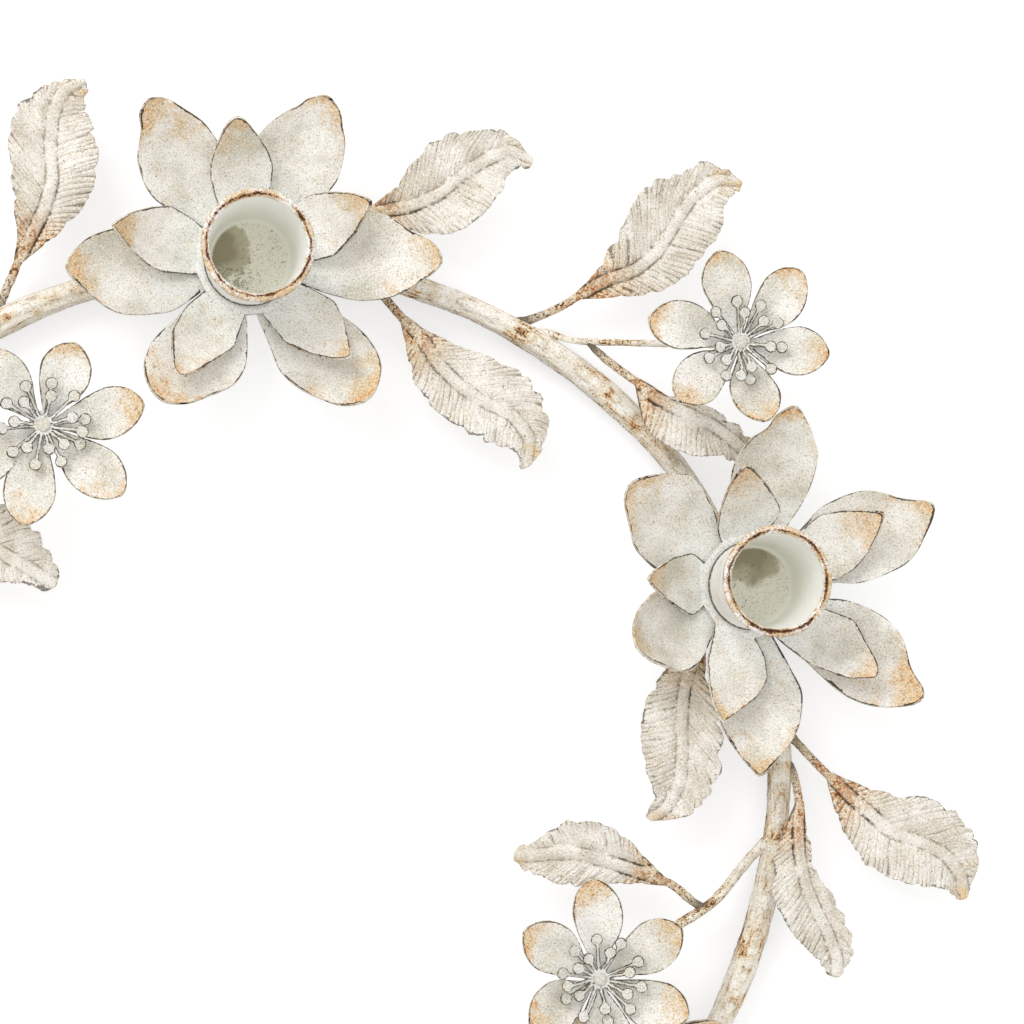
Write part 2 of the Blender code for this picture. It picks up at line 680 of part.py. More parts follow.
def add_flower(number, flower, parent):
    outer_mesh = shared(("outer", flower.outer), lambda: petal_plate(
        "outer_petals", flower.outer, OUTER_OUTLINE, HUB_RADIUS, STUD_HOLE_RADIUS,
        OUTER_REACH, OUTER_LIFT, OUTER_WIDTH, PETAL_DISHING))
    inner_mesh = shared(("inner", flower.inner), lambda: petal_plate(
        "inner_petals", flower.inner, INNER_OUTLINE, HUB_RADIUS, STUD_HOLE_RADIUS,
        INNER_REACH, INNER_LIFT, INNER_WIDTH, PETAL_DISHING / 2))
    outer = add_object(f"outer_petals_{number}", outer_mesh, PARTS, parent, OUTER_PAINT)
    outer.location.z = OUTER_HUB_BASE
    inner = add_object(f"inner_petals_{number}", inner_mesh, PARTS, parent, INNER_PAINT)
    inner.location.z = INNER_HUB_BASE
    for plate in (outer, inner):
        solid_sheet(plate, SHEET_THICKNESS)
    add_cup(f"candle_cup_{number}", shared("cup", cup_mesh), parent, CUP_PAINT)
    add_nut(f"cup_nut_{number}", NUT_MESH, NUT_BORE_MESH, parent, NUT_STEEL)


def blossom_plate():
    return petal_plate("blossom_petals", BLOSSOM_PETALS, BLOSSOM_OUTLINE, BLOSSOM_HUB_RADIUS,
                       STEM_HOLE_RADIUS, BLOSSOM_REACH, BLOSSOM_LIFT, BLOSSOM_WIDTH, PETAL_DISHING)


def add_blossom(number, spray, sector):
    blossom = spray.blossom
    centre = blossom.centre
    seat = add_empty(f"blossom_seat_{number}", sector, spot(centre), blossom.turn - centre.past)
    plate_mesh = shared("blossom", blossom_plate)
    plate = add_object(f"blossom_petals_{number}", plate_mesh, PARTS, seat, BLOSSOM_PAINT)
    solid_sheet(plate, BLOSSOM_SHEET)
    star_mesh = shared("stamens", stamen_star)
    stamens = add_object(f"blossom_stamens_{number}", star_mesh, PARTS, seat, STAMEN_PAINT)
    stamens.location.z = BLOSSOM_SHEET + SEAT_GAP
    solid_sheet(stamens, STAMEN_SHEET)
    add_blossom_stem(f"blossom_stem_{number}", blossom, spray.bow, sector, STEM_PAINT)


def add_leaves(number, spray, sector):
    for letter, leaf in zip("abcd", spray.leaves):
        mesh = shared(("leaf", leaf, spray.bow), lambda: leaf_mesh(f"leaf_{letter}", leaf, spray))
        obj = add_object(f"leaf_{number}{letter}", mesh, PARTS, sector, LEAF_PAINT)
        obj.location = spot(leaf.base)


SHARED_MESHES = {}

clear_scene()
PARTS = new_collection("floral_wreath_candle_holder")
CUTTERS = new_collection("cutters")

OUTER_PAINT = painted_metal("whitewashed_outer_petals", (0.78, 0.75, 0.70), 0.75)
INNER_PAINT = painted_metal("whitewashed_inner_petals", (0.82, 0.80, 0.76), 0.75)
CUP_PAINT = painted_metal("whitewashed_cup", (0.80, 0.80, 0.74), 0.6)
NUT_STEEL = painted_metal("zinc_plated_steel", (0.55, 0.56, 0.56), 0.4, 1.0)
BRANCH_PAINT = painted_metal("washed_bark_casting", (0.72, 0.64, 0.50), 0.85)
LEAF_PAINT = painted_metal("whitewashed_leaf_casting", (0.80, 0.77, 0.70), 0.8)
BLOSSOM_PAINT = painted_metal("whitewashed_blossom", (0.80, 0.78, 0.74), 0.75)
STAMEN_PAINT = painted_metal("pale_grey_stamens", (0.78, 0.78, 0.75), 0.6)
STEM_PAINT = painted_metal("washed_wire", (0.70, 0.60, 0.46), 0.8)

FOOT_MESH = cylinder("foot", FOOT_RADIUS, 0.0, FOOT_HEIGHT, FOOT_SIDES)
POCKET_MESH = cylinder("nut_pocket", NUT_POCKET_RADIUS, -FOOT_RADIUS, NUT_POCKET_DEPTH, 12)
HOLE_MESH = cylinder("stud_hole", STUD_HOLE_RADIUS, -FOOT_RADIUS, FOOT_HEIGHT * 2, 8)
NUT_TOP = NUT_POCKET_DEPTH - SEAT_GAP
NUT_MESH = cylinder("nut", NUT_CORNER_RADIUS, NUT_TOP - NUT_HEIGHT, NUT_TOP, 6)
NUT_BORE_MESH = cylinder("nut_bore", STUD_HOLE_RADIUS, -NUT_HEIGHT, NUT_TOP + NUT_HEIGHT, 8)

wreath = add_empty("wreath", None, (0.0, 0.0, 0.0), FIRST_FLOWER_ANGLE)
for sector_index in range(SECTORS):
    number = sector_index + 1
    flower = FLOWERS[sector_index]
    spray = SPRAYS[sector_index]
    sector = add_empty(f"sector_{number}", wreath, (0.0, 0.0, 0.0), -SECTOR_ANGLE * sector_index)
    seat = add_empty(f"flower_seat_{number}", sector, (RING_RADIUS, 0.0, 0.0), flower.turn)
    add_branch(number, sector, spray.bow, BRANCH_PAINT)
    add_flower(number, flower, seat)
    add_blossom(number, spray, sector)
    add_leaves(number, spray, sector)
bpy.context.view_layer.update()
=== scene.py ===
"""The looks of a floral wreath candle holder: worn whitewashed petals, cast leaves and bark.

The pieces are modelled here and dress the object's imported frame. Lengths are in millimetres until a mesh
takes them, and each piece keeps its place in its mesh. A sector's own frame has its flower on +X, and a
flower's own frame has its stud on the origin.
"""
import math
from collections import namedtuple
from types import SimpleNamespace

import bpy
import numpy as np
from mathutils import Matrix, Vector, noise


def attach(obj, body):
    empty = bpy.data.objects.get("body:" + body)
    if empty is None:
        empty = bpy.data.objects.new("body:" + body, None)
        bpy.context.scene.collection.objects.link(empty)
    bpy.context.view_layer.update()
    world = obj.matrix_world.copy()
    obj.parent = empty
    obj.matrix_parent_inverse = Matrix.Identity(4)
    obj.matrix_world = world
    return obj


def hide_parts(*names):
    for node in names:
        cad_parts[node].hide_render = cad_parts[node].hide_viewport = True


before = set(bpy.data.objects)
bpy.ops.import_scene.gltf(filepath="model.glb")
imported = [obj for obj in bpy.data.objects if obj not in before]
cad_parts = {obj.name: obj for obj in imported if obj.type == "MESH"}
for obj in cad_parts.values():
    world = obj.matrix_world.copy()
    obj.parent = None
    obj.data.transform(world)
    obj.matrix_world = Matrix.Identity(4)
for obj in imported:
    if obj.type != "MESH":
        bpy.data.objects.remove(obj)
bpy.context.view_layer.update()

MM = 0.001
UP = np.array((0.0, 0.0, 1.0))
WELD_GAP = 0.004
OUTLINE_POINTS = 400

# Layout of the wreath, as the frame has it
SECTOR_ANGLE = 72.0
RING_RADIUS = 120.0
RING_HEIGHT = 5.5
FIRST_FLOWER_ANGLE = 94.06
OUTER_HUB_BASE = 8.8
INNER_HUB_BASE = 10.0
CUP_BASE = 11.2

# Branch, foot and wires
BRANCH_END_RADIUS = 1.8
BRANCH_MID_RADIUS = 3.0
BRANCH_GAP = 7.3
BRANCH_LAST = SECTOR_ANGLE - math.degrees(BRANCH_GAP / RING_RADIUS)
BRANCH_RINGS = 330
BRANCH_SIDES = 44
SWELL_POWER = 0.7
KNOT_SHARE = 0.10
KNOTS_PER_BRANCH = 2
BARK_RIDGE = 0.16
BARK_RIDGES = 7
BARK_PIT = 0.30
FOOT_RADIUS = 7.0
FOOT_HEIGHT = 8.5
FOOT_BEVEL = 0.6
POCKET_RADIUS = 4.8
POCKET_DEPTH = 3.4
STEM_RADIUS = 1.0
STEM_FLARE = 0.5
STEM_LEAD = 1.8
STEM_NECK = 4.0
STEM_PULL = 0.3
STEM_SPRING = 0.4
WELD_DEPTH = 0.45
WELD_OUT, WELD_ALONG = 0.72, 0.70
WIRE_RINGS = 110

# Sheet plates
SHEET = 0.6
SHEET_BEVEL = 0.12
HUB_RADIUS = 12.4
HUB_HOLE = 2.3
HUB_RINGS = 3
FAR_FROM_EDGE = 9.0
STRAIGHT_RISE = 0.35
PLEAT_DEPTH = 0.2
CURL_WIDTH = 4.5
BLOSSOM_HEIGHT = 22.0
BLOSSOM_SHEET = 0.5
BLOSSOM_HUB = 3.4
BLOSSOM_REACH = 22.0
BLOSSOM_LIFT = 3.8
BLOSSOM_ROOT = 1.3
STAMEN_HUB = 2.1
STAMEN_SHEET = 0.5
STEM_HOLE = 1.3
SEAT_GAP = 0.3

# Candle cup
CUP_MOUTH_RADIUS = 11.2
CUP_FLOOR_RADIUS = 9.7
CUP_WALL = 0.7
CUP_BASE_RADIUS = 10.3
CUP_HEIGHT = 24.9
CUP_FLOOR = 1.5
CUP_CORNER = 1.2
CUP_BEAD = 0.95
CUP_SIDES = 96
STUD_RADIUS = 2.0
# A darker patch on one side of the cup's floor: its centre and radius
DARK_PATCH_CENTRE = (2.2, 6.6)
DARK_PATCH_RADIUS = 7.4

# Leaves
LEAF_ARCH = 2.8
LEAF_CUPPING = 1.6
LEAF_SHEET = 1.0
LEAF_COLUMNS = 34
LEAF_RUN = 50.0
LEAF_ROUNDING = 6.0
LEAF_RIB = 0.5
LEAF_TIP = 0.9
FULL_WIDTH = 10.0
VEIN_PITCH = 1.15
VEIN_DEPTH = 0.27
VEIN_SLANT = 0.17
ROWS_PER_VEIN = 5
LOBE_PITCH = 5.8
LOBE_BITE = 1.5
LOBE_FOLD = 0.7
EDGE_RUFFLE = 0.8
GUTTER_PLACE, GUTTER_WIDTH, GUTTER_DEPTH = 1.9, 0.6, 0.4
UNDER_BLADE = 0.75


# Selecting and shaping


def only(*chosen):
    """Selects these objects alone and makes the first one active."""
    bpy.ops.object.select_all(action="DESELECT")
    for obj in chosen:
        obj.select_set(True)
    bpy.context.view_layer.objects.active = chosen[0]


def named(name):
    obj = bpy.context.object
    obj.name = name
    obj.data.name = name
    return obj


def new_piece(name, add, **settings):
    """A primitive, added with nothing else selected, and with its place in its mesh."""
    bpy.ops.object.select_all(action="DESELECT")
    add(**settings)
    bpy.ops.object.transform_apply(location=True, rotation=False, scale=False)
    return named(name)


def points_of(obj):
    """The object's points in millimetres, one row each."""
    flat = np.empty(len(obj.data.vertices) * 3)
    obj.data.vertices.foreach_get("co", flat)
    return flat.reshape(-1, 3) / MM


def move_points(obj, points):
    obj.data.vertices.foreach_set("co", (np.asarray(points, float) * MM).ravel())
    obj.data.update()


def paint(obj, **layers):
    """Stores values on the object's points for its material to read: one for all, or one for each."""
    for name, values in layers.items():
        layer = obj.data.attributes.get(name) or obj.data.attributes.new(name, "FLOAT", "POINT")
        layer.data.foreach_set("value", np.full(len(obj.data.vertices), values, np.float32))


def painted_on(obj, name):
    """The values that paint has stored on the object's points."""
    values = np.empty(len(obj.data.vertices), np.float32)
    obj.data.attributes[name].data.foreach_get("value", values)
    return values


def coated(obj, *materials):
    """Gives the object its materials; a plate's second one goes on the cut edge of its sheet."""
    obj.data.materials.clear()
    for material in materials:
        obj.data.materials.append(material)
    return obj


def joined(name, *pieces):
    only(*pieces)
    bpy.ops.object.join()
    return named(name)


def welded(obj):
    """Merges points that lie on each other, which closes seams and poles."""
    only(obj)
    bpy.ops.object.mode_set(mode="EDIT")
    bpy.ops.mesh.select_all(action="SELECT")
    bpy.ops.mesh.remove_doubles(threshold=WELD_GAP * MM)
    bpy.ops.object.mode_set(mode="OBJECT")
    return obj


def with_modifier(obj, kind, **settings):
    """Adds a modifier and applies it."""
    only(obj)
    modifier = obj.modifiers.new(kind.lower(), kind)
    for key, value in settings.items():
        setattr(modifier, key, value)
    bpy.ops.object.modifier_apply(modifier=modifier.name)
    return obj


def bevelled(obj, width, segments):
    """Rounds the sharp edges over this width in millimetres."""
    return with_modifier(obj, "BEVEL", width=width * MM, segments=segments, limit_method="ANGLE",
                         angle_limit=math.radians(50))


def shaded(obj, angle=40.0):
    only(obj)
    bpy.ops.object.shade_smooth_by_angle(angle=math.radians(angle))
    return obj


def grid(name, columns, rows, place):
    """A grid whose points are moved to place(u, v), where u and v run from 0 to 1."""
    obj = new_piece(name, bpy.ops.mesh.primitive_grid_add, x_subdivisions=columns,
                    y_subdivisions=rows, size=1.0)
    flat = points_of(obj) * MM
    points, layers = place(flat[:, 0] + 0.5, flat[:, 1] + 0.5)
    move_points(obj, points)
    paint(obj, **layers)
    return obj


def roughness_at(points, size, seed):
    """Smooth noise from -1 to 1 with features of this size, in millimetres."""
    shift = Vector((seed * 17.3, seed * 5.1, seed * 9.7))
    return np.array([noise.noise(Vector(point) / size + shift) for point in points])


def lumps_at(points, *lumps):
    """Noises laid over each other, each with its size, its depth and its seed."""
    return sum(roughness_at(points, size, seed) * depth for size, depth, seed in lumps)


def flat_points(along, across=0.0):
    """Points on the ground, for these lengths and widths."""
    return np.column_stack((along, across + 0 * along, 0 * along))


def unit(way):
    return way / np.linalg.norm(way)


def bezier(start, start_handle, end_handle, end, share):
    share = np.asarray(share)[:, None]
    rest = 1.0 - share
    return (start * rest ** 3 + start_handle * 3 * rest ** 2 * share
            + end_handle * 3 * rest * share ** 2 + end * share ** 3)


def run_along(points):
    """How far along a line of points each one is."""
    return np.concatenate(([0.0], np.cumsum(np.linalg.norm(np.diff(points, axis=0), axis=1))))


def even_run(points, count):
    """This many points at even steps along a line of points."""
    run = run_along(points)
    even = np.linspace(0.0, run[-1], count)
    return np.column_stack([np.interp(even, run, column) for column in points.T])


def curved_line(corners):
    """An even run of points on a smooth curve that passes through the corners."""
    knots = np.array(corners, float)
    knots = np.vstack((2 * knots[0] - knots[1], knots, 2 * knots[-1] - knots[-2]))
    share = np.linspace(0.0, 1.0, 24, endpoint=False)[:, None]
    runs = []
    for before, start, end, after in zip(knots, knots[1:], knots[2:], knots[3:]):
        runs.append(start + share * (end - before) / 2
                    + share ** 2 * (before - 2.5 * start + 2 * end - after / 2)
                    + share ** 3 * (1.5 * (start - end) + (after - before) / 2))
    return even_run(np.vstack((*runs, knots[-2:-1])), OUTLINE_POINTS)


def rounded_line(corners, rounding):
    """An even run of points along the corners, each rounded off over this many millimetres."""
    line = even_run(np.array(corners, float), OUTLINE_POINTS)
    step = np.linalg.norm(line[1] - line[0])
    half = max(int(rounding / 2 / step), 1)
    before = 2 * line[0] - line[half:0:-1]
    after = 2 * line[-1] - line[-2:-half - 2:-1]
    weights = np.hanning(2 * half + 3)[1:-1]
    weights /= weights.sum()
    padded = np.vstack((before, line, after))
    return np.column_stack([np.convolve(column, weights, "valid") for column in padded.T])


def smooth_step(values, low, high):
    share = np.clip((values - low) / (high - low), 0.0, 1.0)
    return share * share * (3.0 - 2.0 * share)


def rod(name, centres, radii, sides, relief=None):
    """A round rod along the centres: a grid rolled up round them, with its seam and both ends closed."""
    along = np.gradient(centres, axis=0)
    along /= np.linalg.norm(along, axis=1)[:, None]
    side = np.cross(along[0], UP if abs(along[0][2]) < 0.9 else (0.0, 1.0, 0.0))
    across = []
    for way in along:
        side = unit(side - way * side.dot(way))
        across.append(side)
    across = np.array(across)
    up = np.cross(along, across)
    line, across, up = (np.vstack((rows[:1], rows, rows[-1:])) for rows in (centres, across, up))
    size = np.concatenate(([0.0], radii, [0.0]))
    run = run_along(line)
    rings = len(centres) + 1

    def place(u, v):
        row = np.rint(v * rings).astype(int)
        turn = 2 * np.pi * u
        spoke = across[row] * np.cos(turn)[:, None] + up[row] * np.sin(turn)[:, None]
        radius = size[row]
        points = line[row] + spoke * radius[:, None]
        if relief is not None:
            rise = relief(points, run[row], turn, radius)
            points = points + spoke * (rise * (radius > 0))[:, None]
        return points, {"along": run[row], "around": np.sin(turn) * radius}

    return welded(grid(name, sides, rings, place))


# Frames


def sector_turn(number):
    return Matrix.Rotation(math.radians(FIRST_FLOWER_ANGLE - SECTOR_ANGLE * (number - 1)), 4, "Z")


def seat(number, centre, turn):
    """The frame of a flower or blossom: a sector, a point in it, and a turn about the upright."""
    at = Matrix.Translation(Vector(centre) * MM)
    return sector_turn(number) @ at @ Matrix.Rotation(math.radians(turn), 4, "Z")


def spot(past, out, up):
    """A point of a sector: degrees clockwise past its flower, outside the ring, and height."""
    angle = -np.radians(past)
    return np.array([(RING_RADIUS + out) * np.cos(angle), (RING_RADIUS + out) * np.sin(angle), up])


def set_in_place(master, matrix, node):
    """A copy of a modelled piece, placed in its mesh, that stands for one node of the frame."""
    only(master)
    bpy.ops.object.duplicate()
    obj = named(f"{node}_finish")
    obj.data.transform(matrix)
    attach(obj, "root")
    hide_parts(node)
    return obj


# Colours and materials

# Every noise gives the size of its features in millimetres, its detail and its roughness. Sand and grit are
# drawn a few times coarser than the grain of chalk paint, so that they show.
MIX_FACTOR, MIX_UNDER, MIX_OVER, MIX_COLOUR = 0, 6, 7, 2
WORN_STEEL = "#261D16"
DARK_HOLLOW = "#2F2820"
PETAL_RELIEF = 0.07
BARK_RELIEF = 0.12
CUP_RELIEF = 0.05
ZINC_RELIEF = 0.01
STREAK_SIZE = 0.5
STREAK_STRETCH = 0.11


def hex_colour(code):
    """A linear colour from its sRGB hex value."""
    channels = [int(code[index:index + 2], 16) / 255 for index in (1, 3, 5)]
    linear = [c / 12.92 if c <= 0.04045 else ((c + 0.055) / 1.055) ** 2.4 for c in channels]
    return (*linear, 1.0)


def per_mm(size):
    """The scale of a pattern on metres whose features have this size in millimetres."""
    return 1.0 / (size * MM)


def add_node(tree, kind, inputs, output=0, **settings):
    """Adds a node with its settings, sets or links its inputs, and returns one of its outputs."""
    made = tree.nodes.new("ShaderNode" + kind)
    for key, value in settings.items():
        setattr(made, key, value)
    for key, value in inputs.items():
        if isinstance(value, bpy.types.NodeSocket):
            tree.links.new(value, made.inputs[key])
        else:
            made.inputs[key].default_value = value
    return made.outputs[output]


def new_finish(name, roughness, stored=(), metallic=0.0, shine=0.12, **noises):
    """A material, with its noises and the values stored on its pieces, each under its own name."""
    material = bpy.data.materials.new(name)
    material.use_nodes = True
    tree = material.node_tree
    shader = tree.nodes["Principled BSDF"]
    for socket, value in (("Roughness", roughness), ("Metallic", metallic), ("Specular IOR Level", shine)):
        shader.inputs[socket].default_value = value
    on = SimpleNamespace(material=material, tree=tree, shader=shader)
    where = add_node(tree, "TexCoord", {}, "Object")
    for key, (size, detail, rough) in noises.items():
        inputs = {"Vector": where, "Scale": per_mm(size), "Detail": detail, "Roughness": rough}
        setattr(on, key, add_node(tree, "TexNoise", inputs))
    for key in stored:
        setattr(on, key, add_node(tree, "Attribute", {}, "Fac", attribute_name=key))
    return on


def mask(value, low, high, *within):
    """0 where the value is at low and 1 at high, eased at both ends, and only within the other masks."""
    tree = value.id_data
    share = add_node(tree, "MapRange", {
        "Value": value, "From Min": min(low, high), "From Max": max(low, high),
        "To Min": float(low > high), "To Max": float(low < high),
    }, interpolation_type="SMOOTHSTEP")
    for other in within:
        share = add_node(tree, "Math", {0: share, 1: other}, operation="MULTIPLY")
    return share


def shaken(value, *shakes):
    """A value with its level pushed up and down by noises, each by up to half its amount."""
    tree = value.id_data
    for wobble, amount in shakes:
        push = add_node(tree, "Math", {0: wobble, 1: 0.5}, operation="SUBTRACT")
        value = add_node(tree, "Math", {0: push, 1: amount, 2: value}, operation="MULTIPLY_ADD")
    return value


def painted(on, ground, coats, relief, depth):
    """Lays coats over the ground, each a colour, strength and cover, with fine relief of this depth."""
    colour = hex_colour(ground)
    for over, strength, cover in coats:
        cover = add_node(on.tree, "Math", {0: cover, 1: strength}, operation="MULTIPLY")
        colour = add_node(on.tree, "Mix", {MIX_FACTOR: cover, MIX_UNDER: colour, MIX_OVER: hex_colour(over)},
                          MIX_COLOUR, data_type="RGBA")
    on.tree.links.new(colour, on.shader.inputs["Base Color"])
    height = 0.0
    for grain in relief:
        height = add_node(on.tree, "Math", {0: height, 1: grain}, operation="ADD")
    bump = add_node(on.tree, "Bump", {"Strength": 1.0, "Distance": depth * MM, "Height": height})
    on.tree.links.new(bump, on.shader.inputs["Normal"])
    return on.material


def whitewashed_sheet(name, line, patchiness, tip_start, pale="#F4F0E8"):
    """Steel sheet under brushed chalk paint: sandy, mottled, tan at the tips and worn brown at its edges,
    with painted light whitening it towards the hub.

    The worn line is this wide in millimetres, and comes and goes the more patchy it is.
    """
    on = new_finish(name, 0.75, ("edge", "share"), drift=(13.0, 4.0, 0.55), mottle=(3.6, 4.0, 0.66),
                    sand=(0.36, 1.5, 0.6), grit=(0.6, 1.0, 0.5), stain=(9.0, 5.0, 0.66),
                    chips=(1.3, 3.0, 0.6), patches=(8.0, 2.0, 0.5))
    tips = shaken(on.share, (on.stain, 1.25))
    tanned = mask(tips, tip_start - 0.08, tip_start + 0.24)
    near_edge = mask(on.edge, 2.2, 0.2, mask(tips, tip_start - 0.2, tip_start + 0.1))
    rust = mask(shaken(tips, (on.chips, 1.6)), tip_start + 0.34, tip_start + 0.46)
    inside_line = shaken(on.edge, (on.patches, -patchiness), (on.chips, -0.5), (on.grit, -0.4))
    return painted(on, pale, (
        ("#D0CBBB", 1.0, mask(on.drift, 0.38, 0.68)),
        # Painted light: whiter towards the hub, which lifts the shade that the parts above cast there
        ("#F4F7F3", 0.7, mask(shaken(on.share, (on.mottle, 0.5)), 0.45, 0.05)),
        ("#E2D3B8", 0.4, mask(on.mottle, 0.50, 0.68)),
        ("#DFBA80", 0.75, tanned),
        ("#AD8A56", 0.5, mask(on.grit, 0.53, 0.62, tanned)),
        ("#E0AB63", 0.6, mask(on.chips, 0.48, 0.62, near_edge)),
        ("#D88A3C", 0.75, rust),
        ("#868172", 0.5, mask(on.sand, 0.51, 0.70)),
        ("#FFFFFD", 0.5, mask(on.sand, 0.48, 0.32)),
        ("#6A5F52", 0.6, mask(shaken(on.grit, (on.mottle, 0.4)), 0.70, 0.78)),
        (WORN_STEEL, 0.92, mask(inside_line, line + 0.05, line - 0.05)),
    ), (on.sand, on.mottle), PETAL_RELIEF)


def worn_cut_edge(name, bare):
    """The cut edge of painted sheet, which shows brown steel where the paint has gone."""
    on = new_finish(name, 0.8, chips=(1.1, 4.0, 0.65), drift=(6.0, 2.0, 0.5))
    return painted(on, "#DED8CC", (
        ("#B39A78", 1.0, mask(on.chips, 0.46, 0.6)),
        (WORN_STEEL, 1.0, mask(shaken(on.chips, (on.drift, 0.8)), bare, bare - 0.12)),
    ), (on.chips,), CUP_RELIEF)


def washed_casting(name):
    """Cast zinc under chalk paint: cream on the ridges, painted shade in the vein grooves and beside the
    midrib, rust wash near the stem.
    """
    on = new_finish(name, 0.8, ("edge", "share", "vein", "rib"), drift=(8.0, 4.0, 0.6), sand=(0.4, 1.5, 0.65),
                    mottle=(2.4, 4.0, 0.66), stain=(4.0, 4.0, 0.65), chips=(1.0, 3.0, 0.6))
    near_base = mask(shaken(on.share, (on.stain, 0.5)), 0.36, 0.10)
    spots = mask(on.share, -0.25, 0.0, near_base)
    speckled = shaken(on.stain, (on.chips, 0.9))
    pitted = shaken(on.chips, (on.sand, 0.8))
    patchy = mask(shaken(on.drift, (on.mottle, 0.8)), 0.34, 0.58)
    # Painted shade in the gutters beside the midrib, darker still towards the stem
    rib_gutter_shade = mask(on.rib, 0.8, 1.3, mask(on.rib, 2.0, 1.5))
    gutter_shade_near_base = mask(shaken(on.share, (on.chips, 0.9)), 0.42, 0.30, rib_gutter_shade)
    return painted(on, "#F0EBE2", (
        ("#D7CEBF", 1.0, mask(on.drift, 0.36, 0.64)),
        ("#DFD0B4", 0.4, mask(on.mottle, 0.48, 0.66)),
        ("#D8B87C", 0.5, near_base),
        ("#DFB97A", 0.75, mask(shaken(on.share, (on.stain, 0.7)), 0.92, 1.10)),
        ("#DC9A42", 0.8, mask(speckled, 0.50, 0.56, spots)),
        ("#A05A1C", 0.8, mask(speckled, 0.60, 0.66, spots)),
        ("#AB6526", 0.75, mask(on.vein, 0.3, -0.3, spots, mask(on.stain, 0.44, 0.52))),
        # Painted shade: the vein grooves are darkened in patches
        ("#7A6E5C", 0.8, mask(shaken(on.vein, (on.chips, 1.4)), 0.0, -0.8, patchy)),
        ("#958B7C", 0.5, mask(on.sand, 0.52, 0.70)),
        ("#FFFEFA", 0.55, mask(on.sand, 0.48, 0.32)),
        (DARK_HOLLOW, 0.9, mask(pitted, 0.50, 0.56, near_base, mask(on.vein, 0.2, -0.4))),
        (DARK_HOLLOW, 0.75, mask(pitted, 0.55, 0.61, mask(on.share, 0.06, -0.04))),
        # Painted shade: the gutters beside the midrib are darkened, and more so near the stem
        ("#756650", 0.6, mask(on.mottle, 0.42, 0.56, rib_gutter_shade)),
        (DARK_HOLLOW, 0.85, mask(on.stain, 0.46, 0.54, gutter_shade_near_base)),
        ("#5D5347", 0.6, mask(shaken(on.sand, (on.mottle, 0.9)), 0.70, 0.78)),
        ("#463B30", 0.7, mask(shaken(on.edge, (on.chips, 1.6), (on.drift, 3.84)), -0.12, -0.25)),
        ("#43382D", 0.85, mask(shaken(on.share, (on.sand, 0.7), (on.chips, 0.7)), -0.28, -0.40)),
    ), (on.sand, on.mottle), PETAL_RELIEF)


def washed_bark(name, pit_start):
    """Cast bark under cream wash: streaks along the rod, tan and rust, black pits, and painted shade with
    some dirt on its underside and lower flanks.
    """
    on = new_finish(name, 0.85, ("along", "around"), drift=(9.0, 4.0, 0.6), mottle=(2.2, 4.0, 0.7),
                    sand=(0.4, 1.5, 0.65))
    run = add_node(on.tree, "Math", {0: on.along, 1: STREAK_STRETCH * MM}, operation="MULTIPLY")
    girth = add_node(on.tree, "Math", {0: on.around, 1: MM}, operation="MULTIPLY")
    streak = add_node(on.tree, "TexNoise", {
        "Vector": add_node(on.tree, "CombineXYZ", {"X": run, "Y": girth}), "Scale": per_mm(STREAK_SIZE),
        "Detail": 3.0, "Roughness": 0.7,
    })
    pits = shaken(on.sand, (on.drift, 1.1), (streak, 0.8))
    underside_shade_and_dirt = shaken(on.around, (on.sand, 3.0), (on.drift, 3.0))
    return painted(on, "#F5EFE3", (
        ("#E3D0AE", 1.0, mask(on.drift, 0.40, 0.64)),
        ("#AE9066", 0.6, mask(streak, 0.50, 0.64)),
        ("#FDFBF6", 0.8, mask(streak, 0.47, 0.37)),
        ("#8C7C63", 0.55, mask(on.sand, 0.52, 0.70)),
        ("#FFFDF8", 0.5, mask(on.sand, 0.46, 0.32)),
        ("#CF8F4B", 0.65, mask(shaken(on.drift, (streak, 0.8)), 0.60, 0.68)),
        ("#3A3026", 0.85, mask(pits, pit_start, pit_start + 0.08)),
        # Painted shade, with some dirt in the undercuts: darker on the underside and lower flanks of the rod
        ("#5F4F3C", 0.6, mask(underside_shade_and_dirt, -0.3, 0.8)),
    ), (streak, on.sand, on.mottle), BARK_RELIEF)


